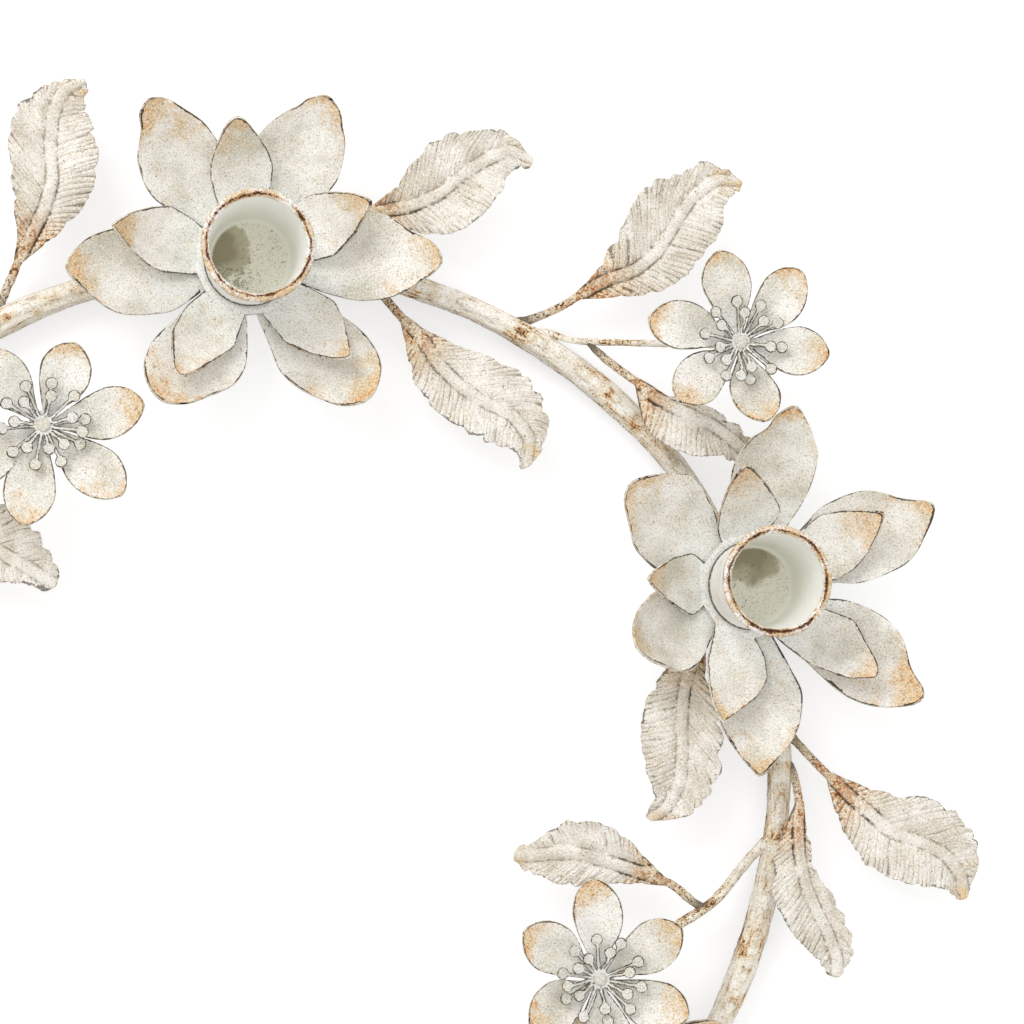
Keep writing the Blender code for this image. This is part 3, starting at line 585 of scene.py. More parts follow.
def washed_cup(name):
    """Turned steel under chalk paint: white walls, painted light inside with a faint grey-green painted shade
    deeper down, a floor darker in a patch on one side, and a worn rim.
    """
    on = new_finish(name, 0.6, ("depth", "inside", "bead", "floor", "stain"), mottle=(3.0, 4.0, 0.6),
                    sand=(0.4, 1.5, 0.65), chips=(0.9, 3.0, 0.7), patches=(7.0, 2.0, 0.5),
                    breaks=(4.0, 3.0, 0.5))
    crumbly = shaken(on.chips, (on.patches, 0.8))
    outside = mask(on.inside, 1.0, 0.0)
    on_bead = mask(on.bead, -0.02, 0.02)
    wander = shaken(on.bead, (on.patches, 0.3))
    coats = [
        ("#E3DED3", 1.0, mask(on.mottle, 0.40, 0.75)),
        ("#A79F92", 0.45, mask(on.sand, 0.56, 0.72)),
        # Painted light: the inside and its floor are painted whiter than the outside, which lifts the shade
        # in the cup; deeper down a faint painted shade
        ("#FBFBF6", 0.8, on.inside),
        ("#F8F8EE", 0.9, mask(shaken(on.depth, (on.mottle, 4.0)), 7.0, 24.0, on.inside)),
        ("#F7F5E6", 0.9, on.floor),
        # The floor is darker in a patch on one side, darkest in its middle
        ("#BBB49A", 0.85, mask(shaken(on.stain, (on.mottle, 6.0)), 0.7, -0.7, on.floor)),
        ("#978F74", 0.8, mask(shaken(on.stain, (on.patches, 12.0)), -0.5, -4.0, on.floor)),
        ("#5E5638", 0.55, mask(crumbly, 0.64, 0.70, on.floor)),
        ("#8D866C", 0.5, mask(on.sand, 0.52, 0.72, on.floor)),
        ("#40342A", 0.9, mask(shaken(on.depth, (on.chips, 1.6)), 23.7, 24.3, outside)),
        ("#DAB880", 0.75, mask(crumbly, 0.40, 0.60, on_bead)),
        ("#B57C3E", 0.7, mask(on.chips, 0.56, 0.66, on_bead)),
        ("#7D5734", 0.65, mask(on.sand, 0.52, 0.68, on_bead)),
    ]
    for place, width, bare in ((0.36, 0.075, "#A87343"), (0.36, 0.035, "#2E1709"), (0.80, 0.02, "#7E5230")):
        gap = add_node(on.tree, "Math", {0: wander, 1: place}, operation="SUBTRACT")
        gap = add_node(on.tree, "Math", {0: gap}, operation="ABSOLUTE")
        gap = shaken(gap, (on.sand, 0.42), (on.chips, 0.30), (on.breaks, 0.42))
        coats.append((bare, 0.92, mask(gap, width + 0.02, width - 0.04, on_bead)))
    return painted(on, "#F5F4F1", coats, (on.sand, on.chips), CUP_RELIEF)


def zinc_plate(name):
    """Zinc-plated steel: a bright grey metal with faint clouds and grain."""
    on = new_finish(name, 0.4, metallic=1.0, shine=0.5, patches=(1.2, 3.0, 0.5), grit=(0.4, 2.0, 0.5))
    return painted(on, "#A9ABAC", (("#8C8D8C", 1.0, mask(on.patches, 0.4, 0.65)),), (on.grit,), ZINC_RELIEF)


PETAL_EDGE = worn_cut_edge("worn_edge_of_petal_sheet", 0.44)
STAMEN_EDGE = worn_cut_edge("worn_edge_of_stamen_sheet", 0.50)
OUTER_COATS = (whitewashed_sheet("brushed_chalk_paint_on_outer_petals", 0.15, 2.0, 0.77), PETAL_EDGE)
INNER_COATS = (whitewashed_sheet("brushed_chalk_paint_on_inner_petals", 0.22, 0.7, 0.73), PETAL_EDGE)
BLOSSOM_COATS = (whitewashed_sheet("brushed_chalk_paint_on_blossoms", 0.18, 0.8, 0.75), PETAL_EDGE)
STAMEN_COATS = (whitewashed_sheet("brushed_chalk_paint_on_stamens", 0.17, 0.2, 3.0, "#DEDBD3"), STAMEN_EDGE)
LEAF_PAINT = washed_casting("washed_cast_leaves")
BARK_PAINT = washed_bark("washed_cast_bark", 0.70)
WIRE_PAINT = washed_bark("washed_blossom_wire", 0.63)
CUP_PAINT = washed_cup("washed_turned_cups")
NUT_ZINC = zinc_plate("zinc_plated_nuts")


# Petal plates

# A petal in its own frame, +X outwards: yaw in degrees, lift, root half width, corners of its left and
# right edges from root to tip, its tip, and how far its rim is curled up
Petal = namedtuple("Petal", "yaw lift root left tip right curl", defaults=(0.0,))
OPEN_OUTER = (
    Petal(30.0, 13.0, 4.6,
          ((18, 8.2), (25, 11.1), (32, 10.0), (35, 8.0), (38, 5.4), (41, 3.9)), (42.6, 0.5),
          ((18, -7.4), (23, -8.6), (29, -8.7), (33, -7.9), (38, -5.2), (41, -3.0))),
    Petal(-29.5, 14.0, 4.6,
          ((19, 9.2), (24, 11.0), (28, 10.7), (33, 8.4), (36, 6.0), (38.8, 4.2)), (40.8, 0.6),
          ((17, -7.6), (23, -9.5), (27, -9.9), (33, -8.1), (36, -5.9), (39, -3.5))),
    Petal(-94.5, 13.0, 4.4,
          ((20, 10.0), (28, 12.0), (33, 10.2), (37, 7.2), (41.7, 4.2)), (43.8, 0.2),
          ((19, -7.3), (25, -8.8), (31, -8.6), (35, -7.3), (39, -4.9), (42.4, -2.4))),
    Petal(-147.0, 13.0, 5.8,
          ((20, 8.6), (27, 10.6), (33, 10.6), (38, 8.8), (41.5, 4.6)), (42.5, 0.4),
          ((19, -8.2), (25, -10.0), (31, -9.2), (36, -6.9), (40, -4.3))),
    Petal(147.0, 12.0, 5.6,
          ((18, 9.6), (23, 11.4), (28, 10.8), (33, 7.4), (37, 4.2)), (39.8, -0.5),
          ((20, -8.0), (27, -10.0), (33, -9.6), (37, -7.2), (39.3, -4.0))),
    Petal(91.0, 13.0, 5.8,
          ((18, 10.2), (23, 11.2), (28, 11.4), (32, 10.7), (36, 8.2), (41, 3.6)), (42.8, 0.4),
          ((18, -8.0), (25, -9.6), (32, -8.5), (37, -6.5), (40.5, -3.4))),
)
OPEN_INNER = (
    Petal(4.0, 16.0, 4.2, ((16, 6.2), (21, 6.9), (25.3, 5.7), (29.8, 2.7)), (31.5, 0.4),
          ((16, -7.0), (21, -8.0), (24.2, -7.0), (27.3, -4.8), (30.7, -1.9))),
    Petal(-69.5, 16.0, 5.0, ((16.5, 8.3), (19, 8.3), (23, 6.8), (26.5, 4.3), (29, 1.5)), (29.8, -0.4),
          ((18.5, -7.2), (24, -4.8))),
    Petal(-142.5, 14.0, 5.6, ((20.2, 8.5), (25.8, 6.1), (29.2, 4.1)), (33.0, 1.0),
          ((20, -7.0), (25.8, -4.7), (30.7, -1.9))),
    Petal(146.0, 14.0, 5.4, ((20, 7.2), (26.6, 4.4), (31.7, 1.8)), (33.8, 0.0),
          ((18, -7.3), (24, -7.1), (28.4, -4.9), (32.7, -2.2))),
    Petal(76.0, 15.0, 5.4, ((19.5, 7.2), (22.4, 6.6), (26.3, 5.0), (30.4, 2.5)), (33.3, 0.5),
          ((16.6, -7.5), (20.4, -8.6), (24.9, -6.8), (29.2, -3.8))),
)
CURLED_OUTER = (
    Petal(58.0, 13.0, 4.6,
          ((18, 7.6), (24, 9.8), (29, 9.6), (33.4, 7.9), (36.7, 4.5), (39.9, 3.2)), (42.8, -0.8),
          ((17, -6.9), (22, -8.8), (28, -9.7), (33, -9.3), (36.2, -7.5), (39.5, -5.0))),
    Petal(3.0, 11.0, 4.6, ((18, 7.6), (23, 9.8), (28.4, 10.2), (33, 9.5), (37, 7.4), (41, 3.8)), (46.4, 0.2),
          ((19, -8.0), (24.4, -10.5), (33, -11.1), (37, -10.2), (40.5, -8.0), (45.5, -3.2))),
    Petal(-58.0, 10.0, 4.4,
          ((19, 10.0), (24, 12.0), (29, 12.7), (33.7, 12.1), (37, 10.5), (42, 6.0), (46.8, 3.6)), (47.8, 0.8),
          ((18, -6.2), (24, -7.4), (32, -8.4), (37, -7.7), (41, -5.9), (45.8, -2.2))),
    Petal(-112.5, 11.0, 5.4,
          ((18.7, 9.0), (24.7, 11.7), (29.4, 11.5), (34.1, 10.1), (38.8, 6.6)), (44.9, 0.5),
          ((18, -8.2), (25, -9.7), (32.4, -8.9), (38.9, -5.5), (43.4, -2.0))),
    Petal(-178.0, 16.8, 5.8, ((18.7, 10.4), (23.2, 11.8), (27.3, 10.7), (30, 8.3), (33.5, 4.8)), (35.4, 1.0),
          ((18, -7.5), (23, -8.6), (27.3, -7.9), (31.7, -5.9), (34.6, -2.6)), 3.2),
    Petal(122.5, 13.0, 4.6, ((18, 8.6), (22.2, 10.9), (28.4, 10.4), (31.6, 8.5), (35.4, 5.7), (38.6, 2.9)),
          (39.4, -0.6), ((17, -8.6), (23, -11.0), (28, -11.6), (33, -8.4), (37, -4.4))),
)
CURLED_INNER = (
    Petal(79.0, 17.0, 5.0, ((15.7, 5.9), (20.1, 5.0), (25.3, 3.0)), (28.5, -0.1),
          ((14, -8.4), (17, -10.0), (22.1, -6.8), (25.6, -3.6))),
    Petal(8.0, 14.0, 4.8, ((18.2, 5.8), (21.8, 6.8), (26.5, 5.3), (30, 3.1)), (33.8, 0.2),
          ((15, -7.6), (18.3, -8.9), (23.4, -8.7), (27.4, -6.3), (31.2, -3.1))),
    Petal(-63.0, 13.0, 5.0, ((17.8, 7.8), (23.7, 9.7), (28, 7.1), (33.4, 4.2)), (35.5, 1.0),
          ((15, -5.5), (23, -5.6), (31, -2.8))),
    Petal(-132.0, 13.0, 5.2, ((15, 8.6), (20, 10.6), (25.7, 8.7)), (34.6, 1.4),
          ((15, -4.8), (20.7, -5.0), (29.7, -2.2))),
    Petal(156.5, 18.6, 5.2, ((15, 7.9), (22.4, 4.6), (27.4, 2.0)), (29.8, 0.1),
          ((15.3, -7.4), (21.1, -5.6), (26, -3.0))),
)


def arm_grid(arm, hub, columns, rows, rounding, form):
    """One arm of a stamped plate: its outline filled with a grid, then bent by form.

    The outline runs smoothly through its corners, or straight between them where a rounding is given.
    """
    root = math.sqrt(hub ** 2 - arm.root ** 2)
    corners = [(root, arm.root), *arm.left, arm.tip, *reversed(arm.right), (root, -arm.root)]
    outline = rounded_line(corners, rounding) if rounding else curved_line(corners)
    split = int(np.argmin(np.hypot(outline[:, 0] - arm.tip[0], outline[:, 1] - arm.tip[1])))
    left = even_run(outline[:split + 1], rows + 1)
    right = even_run(outline[split:][::-1], rows + 1)
    reach = outline[:, 0].max()
    turn = Matrix.Rotation(math.radians(arm.yaw), 3, "Z")

    def place(u, v):
        row = np.rint(v * rows).astype(int)
        flat = left[row] + (right[row] - left[row]) * u[:, None]
        angle = np.arcsin(arm.root / hub) * (1.0 - 2.0 * u)
        bulge = (hub * np.cos(angle) - root) * (1.0 - v) ** 4
        along = flat[:, 0] + bulge
        across = flat[:, 1] + (hub * np.sin(angle) - flat[:, 1]) * (row == 0)
        gaps = np.hypot(flat[:, :1] - outline[None, :, 0], flat[:, 1:] - outline[None, :, 1])
        share = np.clip((along - hub) / (reach - hub), 0.0, 1.0)
        edge = gaps.min(axis=1)
        points = form(arm, along, across, 1.0 - 2.0 * u, share, edge)
        return points @ np.array(turn).T, {"edge": edge, "share": share}

    return grid("arm", columns, rows, place)


def hub_grid(arms, hub, hole, columns):
    """The flat middle of a plate, with a column of faces for each one at the arms' roots."""
    rim = []
    for arm in sorted(arms, key=lambda arm: -(arm.yaw % 360)):
        spread = math.asin(arm.root / hub)
        rim += list(math.radians(arm.yaw) + np.linspace(spread, -spread, columns + 1))
    rim = np.array(rim + rim[:1])

    def place(u, v):
        angle = rim[np.rint(u * (len(rim) - 1)).astype(int)]
        radius = hole + (hub - hole) * np.rint(v * HUB_RINGS) / HUB_RINGS
        points = flat_points(radius * np.cos(angle), radius * np.sin(angle))
        return points, {"edge": FAR_FROM_EDGE, "share": 0.0}

    return grid("hub", len(rim) - 1, HUB_RINGS, place)


def stamped_plate(name, arms, hub, hole, sheet, rounding, form, coats, columns=24, rows=40):
    """A stamped and bent sheet: its hub and arms in one, given thickness, with worn edges."""
    pieces = [hub_grid(arms, hub, hole, columns)]
    pieces += [arm_grid(arm, hub, columns, rows, rounding, form) for arm in arms]
    plate = coated(welded(joined(name, *pieces)), *coats)
    with_modifier(plate, "SOLIDIFY", thickness=sheet * MM, offset=1.0, material_offset_rim=1)
    return shaded(bevelled(plate, SHEET_BEVEL, 2))


def petal_form(dish, crease, seed):
    """A petal that rises in a curve, cups its edges up, and carries the small dents of hand bending."""
    def form(petal, along, across, side, share, edge):
        up = petal.lift * (STRAIGHT_RISE * share + (1.0 - STRAIGHT_RISE) * share ** 2)
        cup = dish * np.sin(np.pi * np.clip(share, 0.0, 0.96)) * np.abs(side) ** 1.7
        fold = crease * np.sqrt(side ** 2 + 0.03) * smooth_step(share, 0.0, 0.3) * (1.0 - 0.5 * share)
        flat = flat_points(along, across)
        dents = lumps_at(flat, (9.0, 0.7, seed + petal.yaw), (4.0, 0.22, seed - petal.yaw))
        dents *= smooth_step(share, 0.02, 0.35)
        pleats = PLEAT_DEPTH * np.sin(across * 1.1 + petal.yaw) * np.exp(-((share - 0.16) / 0.12) ** 2)
        curl = petal.curl * (1.0 - np.clip(edge / CURL_WIDTH, 0.0, 1.0)) ** 2 * smooth_step(share, 0.1, 0.5)
        return np.column_stack((along, across, up + cup + fold + dents + pleats + curl))
    return form


# Blossoms

BLOSSOM_LEFT = ((7.0, 3.2), (10.5, 4.7), (15.0, 5.7), (19.0, 4.4), (21.4, 1.8))
BLOSSOM_RIGHT = ((6.5, -3.2), (9.0, -4.9), (12.6, -6.1), (16.5, -5.7), (19.6, -3.9), (21.5, -1.5))


def blossom_petal(yaw, reach, skew):
    """One oval petal, stretched to its own reach and pulled a little to one side."""
    stretch = reach / BLOSSOM_REACH

    def pulled(corners):
        return tuple((along * stretch, across + skew * (along / BLOSSOM_REACH) ** 2)
                     for along, across in corners)

    return Petal(yaw, BLOSSOM_LIFT, BLOSSOM_ROOT, pulled(BLOSSOM_LEFT), (reach, skew), pulled(BLOSSOM_RIGHT))


BLOSSOM_PETALS = [blossom_petal(*petal) for petal in (
    (0.0, 22.0, 0.8), (60.0, 22.0, -0.6), (119.0, 23.4, 0.8),
    (176.0, 21.6, -0.8), (-124.0, 19.8, 0.6), (-54.0, 20.8, -0.6),
)]
SIDE_BLOSSOM_PETALS = [blossom_petal(*petal) for petal in (
    (-2.5, 22.0, 0.0), (76.5, 22.0, 0.0), (125.0, 23.4, -0.5),
    (-175.5, 23.8, -0.4), (-124.5, 23.0, 0.5), (-65.5, 19.8, -0.4),
)]
HEAD_RADIUS = 1.4
FILAMENT_HALF = 0.42
STAMEN_ROOT = 0.3
STAMEN_TURN_UP = 2.0
STAMEN_TURN_OUT = 1.2
HEAD_TILT = 12.0


def stamen(yaw, length, slope):
    """One stamen, laid out flat: a thin filament and a round head. Its lift holds its slope in degrees."""
    head = STAMEN_HUB + length - HEAD_RADIUS
    turns = np.radians(np.linspace(160.0, 20.0, 8))
    left = [(STAMEN_HUB + 1.0, FILAMENT_HALF), (head - HEAD_RADIUS * 1.1, FILAMENT_HALF)]
    left += [(head + HEAD_RADIUS * math.cos(t), HEAD_RADIUS * math.sin(t)) for t in turns]
    right = [(along, -across) for along, across in left]
    return Petal(yaw, slope, STAMEN_ROOT, left, (head + HEAD_RADIUS, 0.0), right)


# Ten flat ones all round, six steep ones between them, one tall and one short, as lengths and slopes
STAMENS = [stamen(yaw, length, slope) for length, slope, yaws in (
    (9.2, 26.0, [16.0 + 36.0 * index for index in range(10)]),
    (7.6, 66.0, (-3.0, 42.0, 101.0, 180.0, 237.0, 300.0)),
    (11.0, 56.0, (212.0,)),
    (5.6, 66.0, (148.0,)),
) for yaw in yaws]


def stamen_form(arm, along, across, side, share, edge):
    """A filament that turns up from the hub, runs straight, and turns out again to a nearly flat head."""
    run = np.maximum(along - STAMEN_HUB, 0.0)
    length = arm.tip[0] - STAMEN_HUB
    steps = np.linspace(0.0, length, 200)
    turn_out = length - 2 * HEAD_RADIUS - STAMEN_TURN_OUT
    slope = np.radians(arm.lift * smooth_step(steps, 0.0, STAMEN_TURN_UP)
                       + (HEAD_TILT - arm.lift) * smooth_step(steps, turn_out, turn_out + STAMEN_TURN_OUT))
    way = np.column_stack((np.cos(slope), np.sin(slope))) * steps[1]
    out, up = np.vstack(((0.0, 0.0), np.cumsum(way, axis=0)[:-1])).T
    reach = np.where(along < STAMEN_HUB, along, STAMEN_HUB + np.interp(run, steps, out))
    return np.column_stack((reach, across, np.interp(run, steps, up)))


# Candle cup


def cup_profile():
    """Radius and height from the middle of the cup's floor over its rim and down to the stud."""
    def straight(start, end, steps):
        return [tuple(point) for point in np.linspace(start, end, steps + 1)]

    def arc(radius, centre, degrees):
        return [(centre[0] + radius * math.cos(turn), centre[1] + radius * math.sin(turn))
                for turn in np.radians(degrees)]

    wall_foot = CUP_FLOOR + CUP_CORNER + 0.2
    inside = [(0.4, CUP_FLOOR), (7.9, CUP_FLOOR), (8.15, CUP_FLOOR + 0.22), (8.5, CUP_FLOOR + 0.25)]
    inside += arc(CUP_CORNER, (CUP_FLOOR_RADIUS - CUP_CORNER, wall_foot), (-90, -60, -30, 0))
    inside += straight((CUP_FLOOR_RADIUS, wall_foot), (CUP_MOUTH_RADIUS, CUP_HEIGHT - 2 * CUP_BEAD), 14)[1:-1]
    bead_centre = (CUP_MOUTH_RADIUS + CUP_BEAD - 0.2, CUP_HEIGHT - CUP_BEAD)
    bead = arc(CUP_BEAD, bead_centre, np.linspace(200, -50, 15))
    base = CUP_BASE_RADIUS
    outside = straight((CUP_MOUTH_RADIUS + CUP_WALL, CUP_HEIGHT - 2.1 * CUP_BEAD), (base, 0.9), 8)
    foot = [(base + 0.1, 0.7), (base + 0.3, 0.5), (base + 0.3, 0.1), (base + 0.2, 0.0),
            (STUD_RADIUS + 0.2, 0.0), (STUD_RADIUS, -0.2), (STUD_RADIUS, -10.2), (STUD_RADIUS - 0.4, -10.7)]
    return inside + bead + outside + foot, len(inside), len(bead)


def turned_cup():
    """The cup, ring by ring: each ring of edges is extruded and scaled to the next point of the profile."""
    profile, bead_start, bead_count = cup_profile()
    radius, height = profile[0]
    cup = new_piece("cup", bpy.ops.mesh.primitive_circle_add, vertices=CUP_SIDES, radius=radius * MM,
                    location=(0, 0, height * MM))
    bpy.ops.object.mode_set(mode="EDIT")
    bpy.ops.mesh.select_all(action="SELECT")
    bpy.ops.mesh.edge_face_add()
    for (near, low), (far, high) in zip(profile, profile[1:]):
        bpy.ops.mesh.extrude_edges_move(TRANSFORM_OT_translate={"value": (0, 0, (high - low) * MM)})
        bpy.ops.transform.resize(value=(far / near, far / near, 1.0), center_override=(0, 0, 0))
    bpy.ops.mesh.edge_face_add()
    bpy.ops.mesh.select_all(action="SELECT")
    bpy.ops.mesh.normals_make_consistent(inside=False)
    bpy.ops.object.mode_set(mode="OBJECT")
    points = points_of(cup)
    radius = np.hypot(points[:, 0], points[:, 1])
    height = points[:, 2].copy()
    ring = np.arange(len(points)) // CUP_SIDES
    inner = ring < bead_start + bead_count // 3
    on_bead = (ring >= bead_start) & (ring < bead_start + bead_count)
    across_bead = np.where(on_bead, (ring - bead_start) / (bead_count - 1), -1.0)
    from_dark_patch = np.hypot(*(points[:, :2] - DARK_PATCH_CENTRE).T) - DARK_PATCH_RADIUS
    floor = (radius < 9.0) & (height < CUP_FLOOR + 1.0) & (height > CUP_FLOOR - 0.1)
    paint(cup, depth=CUP_HEIGHT - height, inside=inner, bead=across_bead, floor=floor, stain=from_dark_patch)
    wobble = lumps_at(points, (5.0, 0.10, 3), (1.6, 0.05, 4))
    turning_marks = 0.05 * np.sin(height * 2 * np.pi / 3.1) * inner * (height > 4)
    spoke = points[:, :2] / np.maximum(radius, 0.1)[:, None]
    moving = (height > 1.0) & (radius > 9.0)
    points[:, :2] += spoke * ((wobble + turning_marks) * moving)[:, None]
    points[:, 2] -= np.abs(lumps_at(points, (2.4, 0.12, 5))) * on_bead
    move_points(cup, points)
    return shaded(coated(cup, CUP_PAINT), 50)


# Branches and stems


def branch_share(past):
    return past / SECTOR_ANGLE


def branch_radius(past):
    share = branch_share(past)
    swell = np.sin(np.pi * share) ** SWELL_POWER
    knots = 1.0 + KNOT_SHARE * np.sin(2 * np.pi * KNOTS_PER_BRANCH * share) ** 3
    return (BRANCH_END_RADIUS + (BRANCH_MID_RADIUS - BRANCH_END_RADIUS) * swell) * knots


def branch_spot(past, bow):
    return spot(past, bow * np.sin(np.pi * branch_share(past)) ** 2, RING_HEIGHT)


def bark(points, along, turn, radius):
    """Bark: ridges that wander along the rod, low knots, and deep pits in patches."""
    wander = lumps_at(flat_points(along), (9.0, 1.2, 11))
    ridges = np.sin(BARK_RIDGES * turn + wander + 0.9 * np.sin(along / 5.0)) * BARK_RIDGE
    lumps = lumps_at(points, (3.6, 0.14, 12), (0.9, 0.08, 13))
    patches = smooth_step(roughness_at(points, 11.0, 14), 0.05, 0.35)
    pits = np.clip(roughness_at(points, 1.3, 15), 0.0, 1.0) * BARK_PIT * patches
    return (ridges + lumps - pits) * np.clip(radius / 2.0, 0.3, 1.0)


def foot_boss():
    """The round boss that a flower stands on, with the nut's pocket under it."""
    boss = new_piece("boss", bpy.ops.mesh.primitive_cylinder_add, vertices=48, radius=FOOT_RADIUS * MM,
                     depth=FOOT_HEIGHT * MM, location=(RING_RADIUS * MM, 0, FOOT_HEIGHT / 2 * MM))
    bpy.ops.object.mode_set(mode="EDIT")
    bpy.ops.mesh.select_mode(type="FACE")
    bpy.ops.object.mode_set(mode="OBJECT")
    for face in boss.data.polygons:
        face.select = face.normal.z < -0.9
    bpy.ops.object.mode_set(mode="EDIT")
    bpy.ops.mesh.inset(thickness=(FOOT_RADIUS - POCKET_RADIUS) * MM)
    bpy.ops.mesh.extrude_region_move(TRANSFORM_OT_translate={"value": (0, 0, POCKET_DEPTH * MM)})
    bpy.ops.object.mode_set(mode="OBJECT")
    points = points_of(bevelled(boss, FOOT_BEVEL, 3))
    across = points[:, 0] - RING_RADIUS + points[:, 1]
    # Set low, so that the bark's painted underside shade falls on little of the boss
    paint(boss, along=points[:, 2], around=across - 1.6 * FOOT_RADIUS)
    return boss


def branch(bow):
    pasts = np.linspace(0.0, BRANCH_LAST, BRANCH_RINGS)
    centres = np.array([branch_spot(past, bow) for past in pasts])
    limb = rod("limb", centres, branch_radius(pasts), BRANCH_SIDES, bark)
    return shaded(coated(joined("branch", foot_boss(), limb), BARK_PAINT), 55)


Blossom = namedtuple("Blossom", "root side bend centre turn wire")
Leaf = namedtuple("Leaf", "root side base tip roll shape")
Spray = namedtuple("Spray", "blossom leaves bow")
OUTER_SIDE, INNER_SIDE = 1, -1

# Heights over a blossom's place and radii, from under the collar to the top of the head
PLATES_TOP = BLOSSOM_SHEET + SEAT_GAP + STAMEN_SHEET
STEM_COLLAR = [(-1.25, 1.1), (-1.2, 1.6), (-0.95, 1.95), (-0.7, 2.0), (-0.5, 2.0), (-0.32, 1.9), (-0.3, 1.6),
               (-0.28, 1.15)]
STEM_HEAD = [(PLATES_TOP + rise, radius) for rise, radius in (
    (0.0, 1.15), (0.02, 1.4), (0.1, 1.6), (0.25, 1.5), (0.42, 1.2), (0.54, 0.8), (0.6, 0.4))]


def branch_weld(root, side, bow, onward):
    """Where a stem comes out of the branch, inside its skin, and the slanting way it goes."""
    middle = branch_spot(root - STEM_LEAD * onward, bow)
    outwards = side * unit(middle * (1.0, 1.0, 0.0))
    along = onward * unit(branch_spot(root + 0.5, bow) - branch_spot(root - 0.5, bow))
    return middle + outwards * branch_radius(root) * WELD_DEPTH, outwards * WELD_OUT + along * WELD_ALONG


def stem_run(spray):
    """The blossom's stem as two runs of points: to its bend, and on to under the blossom."""
    blossom = spray.blossom
    start, way = branch_weld(blossom.root, blossom.side, spray.bow, 1.0)
    centre, bend = spot(*blossom.centre), spot(*blossom.bend)
    neck = centre - STEM_NECK * UP
    pull = (neck - bend) * STEM_PULL
    reach = np.linalg.norm(bend - start) * STEM_SPRING
    shares = np.linspace(0.0, 1.0, 22)
    first = bezier(start, start + way * reach, bend - pull, bend, shares)
    second = bezier(bend, bend + pull, neck - STEM_NECK * UP, neck, shares)[1:]
    return first, second, centre


def wire_bark(points, along, turn, radius):
    return lumps_at(points, (1.5, 0.14, 21), (0.7, 0.07, 22)) * np.clip(radius, 0, 1)


def flared(centres, radius, flare=STEM_FLARE):
    """Radii along a wire that is thicker where it is welded on."""
    return radius + flare * np.exp(-(run_along(centres) / 3.0) ** 2)


def blossom_stem(spray):
    """The wire, with a collar under the blossom's plates and a peened head over them."""
    first, second, centre = stem_run(spray)
    neck_top = centre + np.outer(np.linspace(-STEM_NECK + 0.5, -0.3, 7), UP)
    centres = even_run(np.vstack((first, second, neck_top)), WIRE_RINGS)
    wire = rod("wire", centres, flared(centres, spray.blossom.wire), 20, wire_bark)
    rises, radii = np.array(STEM_COLLAR + STEM_HEAD).T
    head = rod("head", centre + np.outer(rises, UP), radii, 28)
    paint(head, edge=FAR_FROM_EDGE, share=1.0)
    return shaded(joined("stem", coated(wire, WIRE_PAINT), coated(head, STAMEN_COATS[0])), 60)


# Leaves

# A leaf's rib and edges, in millimetres to the left of the line from its base to its tip
STATIONS = (0.0, 0.15, 0.30, 0.45, 0.60, 0.75, 0.90, 1.0)
Shape = namedtuple("Shape", "rib left right")
LEFT_SWEPT = Shape((0, -0.9, -1.7, -1.2, 1.8, 3.7, 3.6, 0), (0.9, 2.3, 5.6, 8.8, 11.8, 11.6, 7.4, 0.5),
                   (-0.9, -5.0, -8.5, -10.6, -9.5, -6.4, -1.0, -0.5))
BROAD_OUTER = Shape((0, -0.6, -1.6, -1.0, 1.6, 3.4, 4.0, 0), (0.9, 1.8, 5.2, 10.2, 11.8, 10.0, 8.8, 0.6),
                    (-0.9, -3.8, -8.6, -11.0, -9.7, -5.6, 0.2, -0.5))
BROAD_INNER = Shape((0, 0.2, -1.1, -0.7, 1.5, 4.8, 4.6, 0), (0.9, 2.5, 5.0, 9.3, 12.6, 12.2, 10.2, 1.8),
                    (-0.9, -4.5, -8.0, -8.9, -7.5, -4.2, 0.6, -1.4))
LONG_OUTER = Shape((0, -0.6, -2.8, -2.2, 1.2, 3.9, 4.1, 0), (0.9, 2.2, 5.6, 9.4, 12.4, 9.6, 9.0, 0.8),
                   (-0.9, -5.6, -9.5, -11.0, -9.0, -7.2, -0.2, -0.5))
SLIM_FORK = Shape((0, -1.0, -0.8, 0.0, 0.8, 0.9, 0.6, 0), (0.9, 1.0, 2.2, 3.4, 4.0, 4.0, 3.4, 0.5),
                  (-1.2, -7.0, -9.8, -9.4, -8.6, -4.2, -2.6, -0.5))
DROOPING_INNER = Shape((0, -1.6, -1.5, 0.0, 2.2, 3.9, 3.2, 0), (0.9, 2.4, 5.8, 9.8, 11.9, 11.7, 8.4, 0.6),
                       (-0.9, -6.0, -8.8, -9.8, -8.4, -4.8, 0.2, -0.5))
SIDE_OUTER = Shape((0, -0.6, -0.6, -0.6, 2.4, 4.3, 3.3, 0), (0.9, 2.9, 5.4, 10.5, 12.9, 12.8, 9.6, 0.8),
                   (-0.9, -5.8, -9.0, -10.2, -9.2, -5.6, -0.8, -0.5))
SLIM_OUTER = Shape((0, -2.2, -3.6, -3.8, -2.4, -0.4, 0.8, 0), (0.9, -0.2, -0.6, 0.4, 2.8, 4.7, 4.2, 0.7),
                   (-1.2, -6.4, -10.6, -12.4, -11.5, -8.4, -2.8, -0.5))
PLAIN_FORK = Shape((0, -1.0, -1.8, -2.6, -3.0, -2.2, -0.4, 0), (0.9, 1.4, 1.8, 2.6, 4.2, 4.4, 2.4, 0.5),
                   (-0.9, -4.6, -8.0, -10.6, -10.9, -9.0, -2.8, -0.5))
STRAIGHT_FORK = Shape((0, -0.5, -0.8, -0.6, -0.4, -0.2, 0, 0), (0.9, 3.5, 6.8, 9.0, 9.0, 7.0, 4.0, 0.5),
                      (-0.9, -4.0, -7.6, -9.0, -7.5, -4.8, -2.4, -0.5))

